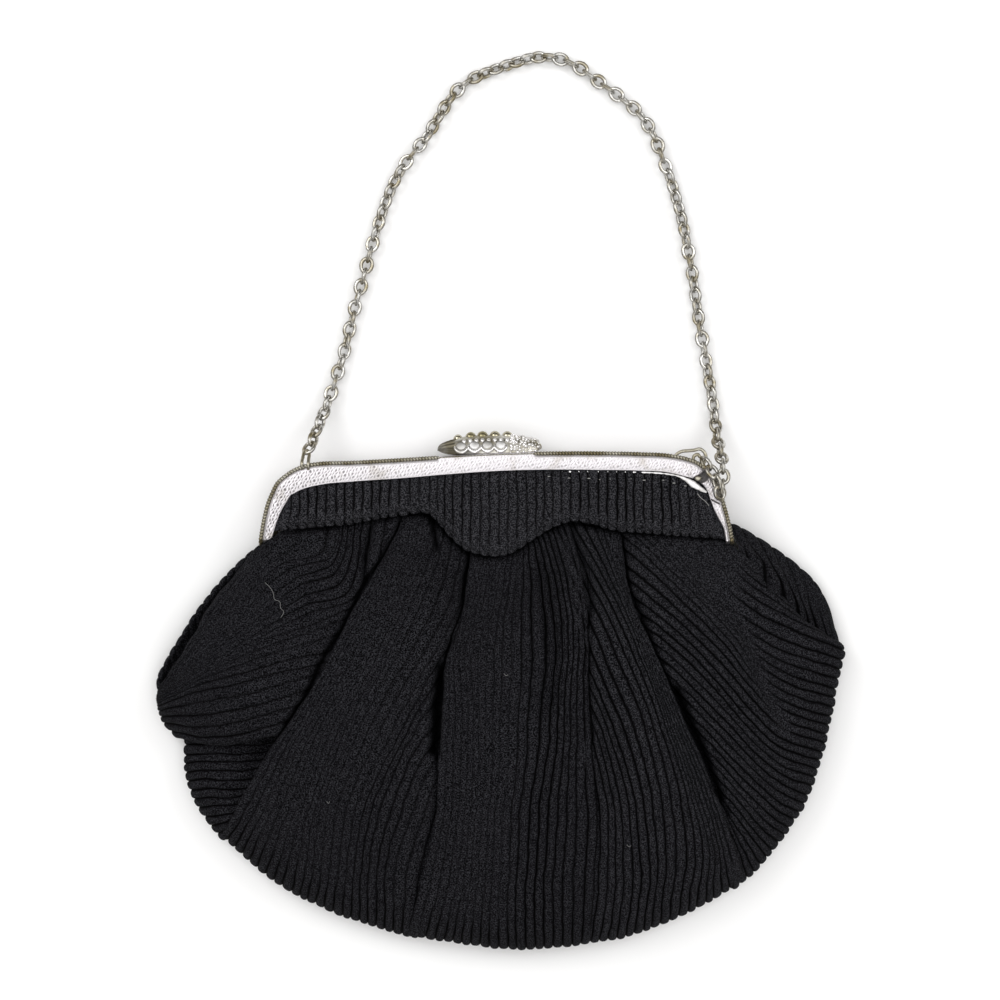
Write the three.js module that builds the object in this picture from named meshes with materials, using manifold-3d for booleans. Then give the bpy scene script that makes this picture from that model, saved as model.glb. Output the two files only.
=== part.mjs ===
// Pleated evening bag: a gathered, ribbed cloth pouch on a two-piece metal frame, with a beaded lift clasp
// and a chain handle. It lies on its back with the chain laid out above the frame.
// Millimetres. +X across the bag, +Y towards the frame and chain, +Z up from the surface that it lies on.
// The origin is on the flat back of the pouch, on that surface.
import * as THREE from "three";
import { mergeVertices } from "three/addons/utils/BufferGeometryUtils.js";
import Module from "manifold-3d";

const wasm = await Module();
wasm.setup();

// Driving dimensions
const SEAT_GAP = 0.3; // between pieces that touch on the real bag
const CLOTH_WALL = 1.7;
const FRAME = {
  archTop: 87.6, // Y of the outer edge at the middle
  archRadius: 730,
  cornerRadius: 17,
  footX: 87,
  footY: 54,
  legSplay: THREE.MathUtils.degToRad(12.5),
  faceWidth: 7,
  footFaceWidth: 4.8,
  wall: 1,
  rim: 1.5, // rounding of the outer front edge
  backZ: 2.4,
  frontZ: 18.4,
};
const PARTING_Z = (FRAME.backZ + FRAME.frontZ) / 2;
const YOKE = {
  halfWidth: 83,
  tuck: 2.2, // from the frame's outer edge to the band's hidden top edge
  ribPitch: 3.25,
  ribDepth: 0.7,
  frontZ: FRAME.frontZ - FRAME.wall - 0.4, // crest of the ribs, under the frame's face
  overlap: 2.5, // how far the hem lies over the pouch
  footDrop: 3.6, // how far below the hem the pouch starts beside the frame's feet
};
const POUCH = {
  edgeZ: 7, // height of the middle of the folded edge
  footEdgeZ: PARTING_Z,
  bellyAt: 0.42, // share of the way from the yoke to the edge where the belly is full
  roundness: 2.5, // exponent of the fall from belly to edge
  edgeRun: 10, // how far the edge takes to come down flat on the surface
  backRise: 16, // how far below the back hem the back lifts off the surface
  ribs: 96,
  ribDepth: 0.7,
  wall: 2, // at the crest of a rib
  ribsPerPanel: 2, // ribs of the outside to each flat strip of the inside
};
// Shares of the way from hem to edge at which the front is shaped
const FRONT_SHARES = [0, 0.12, 0.32, 0.58, 0.8, 0.94, 1];
// Shares of the way at which the folds begin and are at full depth
const FOLD_START = { none: 0.03, full: 0.2 };
const CLASP = {
  halfLength: 18.8,
  halfWidth: 5.7,
  domeHeight: 4.4,
  baseY: FRAME.archTop + 0.4,
  z: PARTING_Z + 0.4,
  pinY: FRAME.archTop + 1.8,
  pinZ: FRAME.backZ + 0.9,
  pinRadius: 0.9,
  boreClearance: 0.1,
  knuckleRadius: 1.55,
  knuckleHalf: 3.8,
  earThickness: 1.2,
};
const CHAIN = { tubeRadius: 2.2, sides: 8, steps: 60 };
const LUG = { x: 71, height: 4.4, halfGap: 1.3, wireRadius: 0.6, z: 14.5 };
const HINGE_PIN = { radius: 1.9, length: 3.4, y: 58.5 };

// Lower edge of the yoke, with its dip in the middle
const HEM = [
  { x: -88, y: 58 },
  { x: -60, y: 61.5 },
  { x: -27, y: 68.5 },
  { x: -9, y: 54 },
  { x: 4, y: 52 },
  { x: 25, y: 62 },
  { x: 55, y: 58.5 },
  { x: 88, y: 55 },
];

// Outline of the pouch about the origin: deg is measured from straight down, positive to the right
const OUTLINE = [
  { deg: -120, radius: 99.5 },
  { deg: -107, radius: 113.5 },
  { deg: -96, radius: 124 },
  { deg: -89, radius: 127 },
  { deg: -83, radius: 123 },
  { deg: -79, radius: 117.5 },
  { deg: -69, radius: 118.2 },
  { deg: -59, radius: 113.9 },
  { deg: -46.4, radius: 106.7 },
  { deg: -29, radius: 97.9 },
  { deg: 0, radius: 94.5 },
  { deg: 26, radius: 101.4 },
  { deg: 42, radius: 110 },
  { deg: 55.6, radius: 116 },
  { deg: 68, radius: 119.2 },
  { deg: 81, radius: 121.5 },
  { deg: 97.4, radius: 128 },
  { deg: 108, radius: 121.5 },
  { deg: 114, radius: 112 },
  { deg: 120, radius: 99.5 },
];

// How the cloth leaves the yoke for each direction of the outline: mouthX on the hem, lean of the ribs
// there from straight down, the share of the run that keeps this lean, and the height of the belly
const GATHER = [
  { deg: -120, mouthX: -78, lean: -60, keep: 0.2, belly: 17 },
  { deg: -97, mouthX: -69, lean: -45, keep: 0.3, belly: 24 },
  { deg: -80, mouthX: -55, lean: -30, keep: 0.35, belly: 30 },
  { deg: -63, mouthX: -40, lean: -30, keep: 0.4, belly: 33 },
  { deg: -40, mouthX: -26, lean: -24, keep: 0.4, belly: 35 },
  { deg: -15, mouthX: -9, lean: -6, keep: 0.35, belly: 36 },
  { deg: 15, mouthX: 16, lean: 4, keep: 0.35, belly: 36 },
  { deg: 45, mouthX: 43, lean: 22, keep: 0.4, belly: 34 },
  { deg: 70, mouthX: 58, lean: 40, keep: 0.4, belly: 31 },
  { deg: 97, mouthX: 71, lean: 55, keep: 0.35, belly: 25 },
  { deg: 120, mouthX: 78, lean: 65, keep: 0.2, belly: 17 },
];

// Folds of the front: a valley that runs from mouthDeg at the yoke to edgeDeg, ends at the share reach,
// with a raised lip on the side that lip points to
const FOLDS = [
  { name: "left_shoulder_tuck", mouthDeg: -84, edgeDeg: -92, width: 6, depth: 2.2, lip: 0, reach: 0.45 },
  { name: "side_puff_crease", mouthDeg: -76, edgeDeg: -79, width: 4, depth: 4.5, lip: -1, reach: 1.3 },
  { name: "left_deep_fold", mouthDeg: -57, edgeDeg: -64, width: 5, depth: 7, lip: 1, reach: 0.95 },
  { name: "left_gather", mouthDeg: -38, edgeDeg: -42, width: 5, depth: 2.4, lip: 0, reach: 0.4 },
  { name: "middle_deep_fold", mouthDeg: -17, edgeDeg: -17, width: 5, depth: 6, lip: 1, reach: 0.75 },
  { name: "middle_gather", mouthDeg: 9, edgeDeg: 8, width: 5, depth: 2, lip: 0, reach: 0.6 },
  { name: "right_gather", mouthDeg: 28, edgeDeg: 26, width: 5, depth: 3, lip: -1, reach: 0.7 },
  { name: "right_deep_fold", mouthDeg: 51, edgeDeg: 46, width: 5, depth: 7, lip: -1, reach: 0.95 },
  { name: "right_crest", mouthDeg: 72, edgeDeg: 84, width: 6, depth: 2.4, lip: 1, reach: 0.6 },
  { name: "right_shoulder_tuck", mouthDeg: 92, edgeDeg: 100, width: 6, depth: 2, lip: 0, reach: 0.6 },
];

// Beads of the clasp, in rows along it: z and height are above the clasp's own base and middle
const CLASP_BEADS = [
  { row: "crown", count: 5, pitch: 4.3, radius: 2, height: 4.6, z: 0 },
  { row: "front", count: 4, pitch: 4.5, radius: 1.8, height: 2.6, z: 3.5 },
  { row: "back", count: 4, pitch: 4.5, radius: 1.8, height: 2.6, z: -3.5 },
  { row: "tips", count: 2, pitch: 26, radius: 1.4, height: 2.4, z: 0 },
];

// Where the chain lies, from just past the left lug to just before the right one
const CHAIN_ROUTE = [
  [-70.4, 95.5, 11.5], [-66.4, 103, 6.4], [-62.4, 112.5, 3], [-59.4, 122, 2.4], [-54.6, 137, 2.4],
  [-49.3, 154.5, 2.4], [-43, 175, 2.4], [-36, 195, 2.4], [-30.2, 206.8, 2.4], [-22, 217.9, 2.4],
  [-14, 224.5, 2.4], [-3.7, 229, 2.4], [5.5, 232.6, 2.4], [14.7, 234, 2.4], [27.6, 231, 2.4],
  [36.8, 224.5, 2.4], [46, 217, 2.4], [53.4, 207.9, 2.4], [57.2, 198.7, 2.4], [60.7, 187.7, 2.4],
  [64.4, 178, 2.4], [68.8, 163.8, 2.4], [70.8, 154.6, 2.4], [72.9, 139.8, 2.4], [75, 125, 2.4],
  [76.6, 112.2, 2.4], [78.4, 102, 2.6], [81, 92, 3.4], [84.4, 84, 5.6], [85.6, 78.6, 10],
  [84, 79.5, 14.6], [80.6, 85.5, 17], [76.6, 91.4, 16.4], [74, 93.2, 15.4],
];

const METAL = { color: 0xd3d0cb, roughness: 0.3, metalness: 1 };
const CLOTH = { color: 0x17161a, roughness: 0.9, metalness: 0 };

// Value of a table's column at a key, on a smooth curve through the rows
function tableAt(rows, key, value, column) {
  let i = rows.findIndex((row) => row[key] > value) - 1;
  if (i < 0) i = value < rows[0][key] ? 0 : rows.length - 2;
  const at = (k) => rows[THREE.MathUtils.clamp(k, 0, rows.length - 1)];
  const slope = (k) => {
    const before = at(k - 1);
    const after = at(k + 1);
    return (after[column] - before[column]) / (after[key] - before[key]);
  };
  const span = at(i + 1)[key] - at(i)[key];
  const t = THREE.MathUtils.clamp((value - at(i)[key]) / span, 0, 1);
  const rise = at(i + 1)[column] - at(i)[column];
  const a = slope(i) * span - rise;
  const b = rise - slope(i + 1) * span;
  return at(i)[column] + t * rise + t * (1 - t) * ((1 - t) * a + t * b);
}

const hemY = (x) => tableAt(HEM, "x", x, "y");

// The frame's outer edge, right half: where the corner's arc starts and ends, and its centre
function frameCorner() {
  const { archTop, archRadius, cornerRadius: r, footX, footY, legSplay } = FRAME;
  const along = new THREE.Vector2(-Math.sin(legSplay), Math.cos(legSplay));
  const inward = new THREE.Vector2(-Math.cos(legSplay), -Math.sin(legSplay));
  const start = new THREE.Vector2(footX, footY).addScaledVector(inward, r);
  const archCentre = new THREE.Vector2(0, archTop - archRadius);
  // The arc's centre lies on a line beside the leg, at archRadius - r from the arch's centre
  const offset = start.clone().sub(archCentre);
  const b = offset.dot(along);
  const c = offset.lengthSq() - (archRadius - r) ** 2;
  const centre = start.clone().addScaledVector(along, -b + Math.sqrt(b * b - c));
  const fromArch = Math.atan2(centre.x - archCentre.x, centre.y - archCentre.y);
  return { centre, fromArch, toLeg: Math.PI / 2 - legSplay, inward, archCentre };
}
const CORNER = frameCorner();

// Points along the outer edge, left foot to right foot: place, inward direction and face width
function frameStations(legSteps = 2, cornerSteps = 7, archSteps = 6) {
  const { footX, footY, faceWidth, footFaceWidth, archRadius, cornerRadius } = FRAME;
  const right = [];
  const add = (x, y, nx, ny, width) => right.push({ x, y, nx, ny, width });
  for (let i = 0; i <= archSteps; i++) {
    const a = (CORNER.fromArch * i) / archSteps;
    const x = Math.sin(a) * archRadius;
    add(x, CORNER.archCentre.y + Math.cos(a) * archRadius, -Math.sin(a), -Math.cos(a), faceWidth);
  }
  for (let i = 1; i <= cornerSteps; i++) {
    const a = THREE.MathUtils.lerp(CORNER.fromArch, CORNER.toLeg, i / cornerSteps);
    const x = CORNER.centre.x + Math.sin(a) * cornerRadius;
    add(x, CORNER.centre.y + Math.cos(a) * cornerRadius, -Math.sin(a), -Math.cos(a), faceWidth);
  }
  const top = right[right.length - 1];
  for (let i = 1; i <= legSteps; i++) {
    const t = i / legSteps;
    const width = THREE.MathUtils.lerp(faceWidth, footFaceWidth, t);
    const x = THREE.MathUtils.lerp(top.x, footX, t);
    add(x, THREE.MathUtils.lerp(top.y, footY, t), CORNER.inward.x, CORNER.inward.y, width);
  }
  const left = right.slice(1).reverse().map((s) => ({ ...s, x: -s.x, nx: -s.nx }));
  return [...left, ...right];
}

// Height of the frame's outer edge at x, moved in by inset
function frameEdgeY(x, inset) {
  const { archRadius, cornerRadius, footX, footY, legSplay } = FRAME;
  const side = Math.abs(x);
  const arcRadius = cornerRadius - inset;
  const arcStart = CORNER.centre.x + Math.sin(CORNER.fromArch) * arcRadius;
  const arcEnd = CORNER.centre.x + Math.sin(CORNER.toLeg) * arcRadius;
  if (side < arcStart) return CORNER.archCentre.y + Math.sqrt((archRadius - inset) ** 2 - side ** 2);
  if (side < arcEnd) return CORNER.centre.y + Math.sqrt(arcRadius ** 2 - (side - CORNER.centre.x) ** 2);
  return footY + (footX - inset / Math.cos(legSplay) - side) / Math.tan(legSplay);
}

// Geometry from points and triangles
function geometryOf(points, triangles) {
  const g = new THREE.BufferGeometry();
  g.setAttribute("position", new THREE.Float32BufferAttribute(points.flat(), 3));
  g.setIndex(triangles);
  return g;
}

// Two triangles for the cell between rings i and i + 1, at places a and b of a ring of n points
const cell = (tris, n, i, a, b) => {
  tris.push(i * n + a, i * n + b, (i + 1) * n + a);
  tris.push(i * n + b, (i + 1) * n + b, (i + 1) * n + a);
};

// Closed solid through rings of equal point counts, with flat caps
function loft(rings) {
  const n = rings[0].length;
  const tris = [];
  for (let i = 0; i + 1 < rings.length; i++) for (let k = 0; k < n; k++) cell(tris, n, i, k, (k + 1) % n);
  const last = (rings.length - 1) * n;
  const caps = THREE.ShapeUtils.triangulateShape(flatRing(rings[0]), []);
  for (const [a, b, c] of caps) tris.push(c, b, a, last + a, last + b, last + c);
  return geometryOf(rings.flat(), tris);
}

// A ring laid out in its own plane, for triangulating a cap
function flatRing(ring) {
  const points = ring.map((p) => new THREE.Vector3(...p));
  const normal = new THREE.Vector3();
  points.forEach((p, k) => normal.add(p.clone().cross(points[(k + 1) % points.length])));
  const u = points[1].clone().sub(points[0]).normalize();
  const v = normal.normalize().cross(u);
  return points.map((p) => new THREE.Vector2(p.dot(u), p.dot(v)));
}

// Closed wall between two grids of points that share their layout: outer faces out, inner faces in
function wallBetween(outer, inner) {
  const rows = outer.length;
  const n = outer[0].length;
  const shift = rows * n;
  const tris = [];
  for (let i = 0; i + 1 < rows; i++) {
    for (let k = 0; k + 1 < n; k++) {
      const [a, b, c, d] = [i * n + k, i * n + k + 1, (i + 1) * n + k, (i + 1) * n + k + 1];
      tris.push(a, c, b, b, c, d);
      tris.push(a + shift, b + shift, c + shift, b + shift, d + shift, c + shift);
    }
  }
  const rim = (a, b) => tris.push(a, b, a + shift, b, b + shift, a + shift);
  for (let k = 0; k + 1 < n; k++) {
    rim(k, k + 1);
    rim((rows - 1) * n + k + 1, (rows - 1) * n + k);
  }
  for (let i = 0; i + 1 < rows; i++) {
    rim((i + 1) * n, i * n);
    rim(i * n + n - 1, (i + 1) * n + n - 1);
  }
  return geometryOf([...outer.flat(), ...inner.flat()], tris);
}

// Closed wall between strips of points: outer has ratio strips for each one of inner, and fans close the open
// ends of the strips
function stitchedWall(outer, inner, ratio) {
  const rows = outer[0].length;
  const o = (k, i) => k * rows + i;
  const n = (k, i) => (outer.length + k) * rows + i;
  const tris = [];
  for (let i = 0; i + 1 < rows; i++) {
    for (let k = 0; k + 1 < outer.length; k++) {
      tris.push(o(k, i), o(k, i + 1), o(k + 1, i), o(k + 1, i), o(k, i + 1), o(k + 1, i + 1));
    }
    for (let k = 0; k + 1 < inner.length; k++) {
      tris.push(n(k, i), n(k + 1, i), n(k, i + 1), n(k + 1, i), n(k + 1, i + 1), n(k, i + 1));
    }
    const [a, b] = [outer.length - 1, inner.length - 1];
    tris.push(o(0, i + 1), o(0, i), n(0, i + 1), o(0, i), n(0, i), n(0, i + 1));
    tris.push(o(a, i), o(a, i + 1), n(b, i), o(a, i + 1), n(b, i + 1), n(b, i));
  }
  const bottom = rows - 1;
  for (let j = 0; j + 1 < inner.length; j++) {
    for (let m = 0; m < ratio; m++) {
      const k = j * ratio + m;
      const near = m < ratio / 2 ? j : j + 1;
      tris.push(o(k, 0), o(k + 1, 0), n(near, 0), o(k + 1, bottom), o(k, bottom), n(near, bottom));
    }
    const middle = j * ratio + ratio / 2;
    tris.push(o(middle, 0), n(j + 1, 0), n(j, 0), o(middle, bottom), n(j, bottom), n(j + 1, bottom));
  }
  return geometryOf([...outer.flat(), ...inner.flat()], tris);
}

// Solids for joining and cutting
function solidOf(geometry) {
  const bare = geometry.clone();
  bare.deleteAttribute("normal");
  bare.deleteAttribute("uv");
  const g = mergeVertices(bare, 1e-4);
  return new wasm.Manifold(
    new wasm.Mesh({
      numProp: 3,
      vertProperties: new Float32Array(g.attributes.position.array),
      triVerts: new Uint32Array(g.index.array),
    }),
  );
}

function geometryOfSolid(solid) {
  const mesh = solid.getMesh();
  const g = new THREE.BufferGeometry();
  g.setAttribute("position", new THREE.Float32BufferAttribute(mesh.vertProperties, 3));
  g.setIndex(Array.from(mesh.triVerts));
  return g;
}

const bag = new THREE.Group();
function piece(name, geometry, finish) {
  geometry.computeVertexNormals();
  const mesh = new THREE.Mesh(geometry, new THREE.MeshStandardMaterial(finish));
  mesh.name = name;
  bag.add(mesh);
  return mesh;
}

// One half of the frame: a channel with a rounded rim. flip turns it over for the back half
function frameHalf(flip) {
  const { wall, rim, frontZ } = FRAME;
  const parting = PARTING_Z + SEAT_GAP / 2;
  const turn = (z) => (flip ? 2 * PARTING_Z - z : z);
  const rings = frameStations().map(({ x, y, nx, ny, width }) => {
    const section = [
      [0, parting],
      [0, frontZ - rim],
      [rim * 0.3, frontZ - rim * 0.3],
      [rim, frontZ],
      [width, frontZ],
      [width, frontZ - wall],
      [rim + wall * 0.2, frontZ - wall],
      [wall, frontZ - rim - wall * 0.2],
      [wall, parting],
    ];
    const ring = section.map(([w, z]) => [x + nx * w, y + ny * w, turn(z)]);
    return flip ? ring.reverse() : ring;
  });
  return loft(rings);
}

// A ribbed band from inside the frame's channel down to the hem
function yokeBand(flip) {
  const { halfWidth, tuck, ribPitch, ribDepth, frontZ } = YOKE;
  const turn = (z) => (flip ? 2 * PARTING_Z - z : z);
  const count = 2 * Math.round((2 * halfWidth) / ribPitch);
  const outer = [[], []];
  const inner = [[], []];
  for (let k = 0; k <= count; k++) {
    const x = THREE.MathUtils.lerp(-halfWidth, halfWidth, k / count);
    const z = frontZ - (k % 2 ? 0 : ribDepth);
    [frameEdgeY(x, tuck), hemY(x)].forEach((y, row) => {
      outer[row].push([x, y, turn(z)]);
      inner[row].push([x, y, turn(frontZ - CLOTH_WALL)]);
    });
  }
  return flip ? wallBetween(inner, outer) : wallBetween(outer, inner);
}

const outlinePoint = (deg, inset) => {
  const a = THREE.MathUtils.degToRad(deg);
  const r = tableAt(OUTLINE, "deg", deg, "radius") - inset;
  return new THREE.Vector2(Math.sin(a) * r, -Math.cos(a) * r);
};

// Depth of the folds at a share t of the way from the yoke to the edge: valleys with a lip beside them
function foldHeight(deg, t) {
  let height = 0;
  for (const fold of FOLDS) {
    const middle = THREE.MathUtils.lerp(fold.mouthDeg, fold.edgeDeg, t);
    const q = (deg - middle) / fold.width;
    const opens = THREE.MathUtils.smoothstep(t, FOLD_START.none, FOLD_START.full);
    const fade = opens * (1 - THREE.MathUtils.smoothstep(t, fold.reach * 0.5, fold.reach));
    const lip = fold.lip ? 0.5 * Math.exp(-((q - fold.lip * 1.3) ** 2)) : 0;
    height += fold.depth * fade * (lip - Math.exp(-q * q));
  }
  return height;
}

// Path of the cloth on the surface, from the hem to the outline: a cubic with the gather's lean at its start
function clothPath(deg, inset) {
  const x = tableAt(GATHER, "deg", deg, "mouthX");
  const lean = THREE.MathUtils.degToRad(tableAt(GATHER, "deg", deg, "lean"));
  const keep = tableAt(GATHER, "deg", deg, "keep");
  const toFoot = THREE.MathUtils.smoothstep(Math.abs(deg), 95, 120);
  const start = new THREE.Vector2(x, hemY(x) + THREE.MathUtils.lerp(YOKE.overlap, -YOKE.footDrop, toFoot));
  const end = outlinePoint(deg, inset);
  const run = start.distanceTo(end);
  const outward = end.clone().normalize();
  const first = start.clone().add(new THREE.Vector2(Math.sin(lean), -Math.cos(lean)).multiplyScalar(run * keep));
  const second = end.clone().addScaledVector(outward, -run * 0.33);
  return new THREE.CubicBezierCurve(start, first, second, end);
}

// Share of a cloth path that lies under the yoke
function hemShare(path) {
  let t = 0;
  while (t < 0.5) {
    const p = path.getPoint(t);
    if (p.y < hemY(p.x) - 0.6) return t;
    t += 0.01;
  }
  return t;
}

// The pouch in one direction from the origin, as a ring of points: along the front from its top edge to the
// folded outer edge, and along the flat back to the top again. inset moves the front and the edge inwards,
// backInset the back, and spread takes the lowest fold within so many degrees
function pouchRing(deg, inset, backInset, spread) {
  const { bellyAt, roundness, edgeRun, backRise } = POUCH;
  const path = clothPath(deg, inset);
  const toFoot = THREE.MathUtils.smoothstep(Math.abs(deg), 90, 120);
  const edgeZ = THREE.MathUtils.lerp(POUCH.edgeZ, POUCH.footEdgeZ, toFoot);
  const mouthZ = YOKE.frontZ - CLOTH_WALL - SEAT_GAP;
  const belly = tableAt(GATHER, "deg", deg, "belly");
  const hem = hemShare(path);
  const front = [0, ...FRONT_SHARES.map((share) => hem + (1 - hem) * share)].map((t) => {
    const p = path.getPoint(t);
    const rise = THREE.MathUtils.smoothstep(t, hem, hem + bellyAt);
    const folds = [-spread, 0, spread].map((d) => foldHeight(deg + d, Math.max(0, t - hem)));
    const top = THREE.MathUtils.lerp(mouthZ, belly, rise) + Math.min(...folds);
    const fall = Math.sqrt(Math.max(0, 1 - t ** roundness));
    return [p.x, p.y, edgeZ + (top - inset - edgeZ) * fall];
  });
  const back = new THREE.LineCurve(path.getPoint(1), path.getPoint(0));
  const reach = back.getLength();
  const fromMouth = new THREE.LineCurve(path.getPoint(0), path.getPoint(1));
  const underHem = reach * Math.min(0.5, hemShare(fromMouth));
  const round = Math.min(edgeRun, reach * 0.35);
  const lift = Math.min(backRise, reach * 0.58);
  const mouthBackZ = 2 * PARTING_Z - mouthZ;
  const under = [
    [round * 0.3, backInset + (edgeZ - backInset) * 0.29],
    [round, backInset],
    [reach - lift, backInset],
    [reach - underHem, mouthBackZ + backInset],
    [reach, mouthBackZ + backInset],
  ].map(([run, z]) => {
    const p = back.getPoint(run / reach);
    return [p.x, p.y, z];
  });
  return [...front, ...under];
}

// Ribbed outside with a plain inside, open at the mouth
function pouchWall() {
  const first = OUTLINE[0].deg;
  const last = OUTLINE[OUTLINE.length - 1].deg;
  const { ribs, ribDepth, wall, ribsPerPanel } = POUCH;
  const panels = ribs / ribsPerPanel;
  const outside = Array.from({ length: 2 * ribs + 1 }, (_, k) =>
    pouchRing(THREE.MathUtils.lerp(first, last, k / (2 * ribs)), k % 2 ? 0 : ribDepth, 0, 0),
  );
  const inside = Array.from({ length: panels + 1 }, (_, k) =>
    pouchRing(THREE.MathUtils.lerp(first, last, k / panels), wall, wall, (last - first) / panels / 2),
  );
  return stitchedWall(outside, inside, 2 * ribsPerPanel);
}

// A bar of round section along a curve
function bar(curve, radius, sides, steps) {
  const section = new THREE.Shape(
    Array.from({ length: sides }, (_, k) => {
      const a = (2 * Math.PI * k) / sides;
      return new THREE.Vector2(Math.cos(a) * radius, Math.sin(a) * radius);
    }),
  );
  return new THREE.ExtrudeGeometry(section, { steps, extrudePath: curve, bevelEnabled: false });
}

// Where a chain lug stands: its foot on the frame's corner, and the way that it points
function lugPlace(side) {
  const y = frameEdgeY(LUG.x, 0);
  const out = new THREE.Vector2(LUG.x - CORNER.centre.x, y - CORNER.centre.y).normalize();
  return {
    foot: new THREE.Vector3(side * LUG.x, y, LUG.z),
    out: new THREE.Vector3(side * out.x, out.y, 0),
  };
}

// A wire bail that stands on the frame's rim
function chainLug(side) {
  const { foot, out } = lugPlace(side);
  const across = new THREE.Vector3(-out.y, out.x, 0);
  const base = SEAT_GAP + 0.15;
  const at = (w, h) => foot.clone().addScaledVector(across, w).addScaledVector(out, h);
  const bend = LUG.height - LUG.halfGap - LUG.wireRadius;
  const points = [at(-LUG.halfGap, base), at(-LUG.halfGap, bend)];
  for (let i = 1; i < 6; i++) {
    const a = Math.PI * (1 - i / 6);
    points.push(at(Math.cos(a) * LUG.halfGap, bend + Math.sin(a) * LUG.halfGap));
  }
  points.push(at(LUG.halfGap, bend), at(LUG.halfGap, base));
  return bar(new THREE.CatmullRomCurve3(points), LUG.wireRadius, 6, 14);
}

// The chain's envelope along its route, from lug to lug
function chainTube() {
  const end = (side) => {
    const { foot, out } = lugPlace(side);
    return [LUG.height + SEAT_GAP + 0.1, LUG.height + 2.4].map((h) => foot.clone().addScaledVector(out, h));
  };
  const route = CHAIN_ROUTE.map((p) => new THREE.Vector3(...p));
  const curve = new THREE.CatmullRomCurve3([...end(-1), ...route, ...end(1).reverse()]);
  return bar(curve, CHAIN.tubeRadius, CHAIN.sides, CHAIN.steps);
}

// Lens-shaped dome of the clasp: half ellipses across it, narrowing to both ends
function claspDome(steps = 12, sides = 6) {
  const rings = [];
  for (let i = 0; i <= steps; i++) {
    const share = THREE.MathUtils.lerp(-0.985, 0.985, i / steps);
    const swell = (1 - share ** 2) ** 0.6;
    const ring = [];
    for (let k = 0; k <= sides; k++) {
      const a = (Math.PI * k) / sides;
      const z = CLASP.z + Math.cos(a) * CLASP.halfWidth * swell;
      ring.push([share * CLASP.halfLength, CLASP.baseY + 0.8 + Math.sin(a) * CLASP.domeHeight * swell, z]);
    }
    ring.push([share * CLASP.halfLength, CLASP.baseY, CLASP.z - CLASP.halfWidth * swell * 0.9]);
    ring.push([share * CLASP.halfLength, CLASP.baseY, CLASP.z + CLASP.halfWidth * swell * 0.9]);
    rings.push(ring.reverse());
  }
  return loft(rings);
}

// Cylinder along X, centred on the clasp's hinge
function crossPin(radius, length, sides = 12) {
  const g = new THREE.CylinderGeometry(radius, radius, length, sides);
  return g.rotateZ(Math.PI / 2).translate(0, CLASP.pinY, CLASP.pinZ);
}

function claspLever() {
  let lever = solidOf(claspDome());
  for (const { count, pitch, radius, height, z } of CLASP_BEADS) {
    for (let i = 0; i < count; i++) {
      const bead = new THREE.SphereGeometry(radius, 10, 5);
      bead.translate((i - (count - 1) / 2) * pitch, CLASP.baseY + height, CLASP.z + z);
      lever = lever.add(solidOf(bead));
    }
  }
  const { knuckleHalf, knuckleRadius, pinRadius, boreClearance } = CLASP;
  const web = new THREE.BoxGeometry(2 * knuckleHalf, 1.5, CLASP.z - CLASP.pinZ);
  web.translate(0, CLASP.pinY + 0.4, (CLASP.z + CLASP.pinZ) / 2);
  return lever
    .add(solidOf(web))
    .add(solidOf(crossPin(knuckleRadius, 2 * knuckleHalf)))
    .subtract(solidOf(crossPin(pinRadius + boreClearance, 4 * knuckleHalf)));
}

// Hinge of the clasp: a pin between two ears on the back half of the frame
function claspHinge() {
  const { knuckleHalf, earThickness, pinRadius, pinY, pinZ, knuckleRadius } = CLASP;
  const earX = knuckleHalf + SEAT_GAP + earThickness / 2;
  let hinge = solidOf(crossPin(pinRadius, 2 * earX));
  const seat = FRAME.archTop + SEAT_GAP;
  for (const side of [-1, 1]) {
    const ear = new THREE.CylinderGeometry(knuckleRadius, knuckleRadius, earThickness, 12);
    ear.rotateZ(Math.PI / 2).translate(side * earX, pinY, pinZ);
    const post = new THREE.BoxGeometry(earThickness, pinY - seat, 1.8 * knuckleRadius);
    post.translate(side * earX, (pinY + seat) / 2, pinZ);
    hinge = hinge.add(solidOf(ear)).add(solidOf(post));
  }
  return hinge;
}

// Pin that joins the two halves of the frame, inside the foot of each leg
function hingePin(side) {
  const { radius, length, y } = HINGE_PIN;
  const legX = FRAME.footX - (y - FRAME.footY) * Math.tan(FRAME.legSplay);
  const wallX = legX - FRAME.wall / Math.cos(FRAME.legSplay);
  const lean = (radius + SEAT_GAP) * Math.tan(FRAME.legSplay) + SEAT_GAP;
  const g = new THREE.CylinderGeometry(radius, radius, length, 10).rotateZ(Math.PI / 2);
  return g.translate(side * (wallX - lean - length / 2), y, PARTING_Z);
}

piece("pleated_pouch", pouchWall(), CLOTH);
piece("front_yoke", yokeBand(false), CLOTH);
piece("back_yoke", yokeBand(true), CLOTH);
piece("front_frame", frameHalf(false), METAL);
piece("back_frame", frameHalf(true), METAL);
for (const [name, side] of [["left", -1], ["right", 1]]) {
  piece(`hinge_pin_${name}`, hingePin(side), METAL);
  piece(`chain_lug_${name}`, chainLug(side), METAL);
}
piece("clasp_hinge", geometryOfSolid(claspHinge()), METAL);
piece("clasp_lever", geometryOfSolid(claspLever()), METAL);
piece("chain", chainTube(), METAL);

export default bag;
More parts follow.
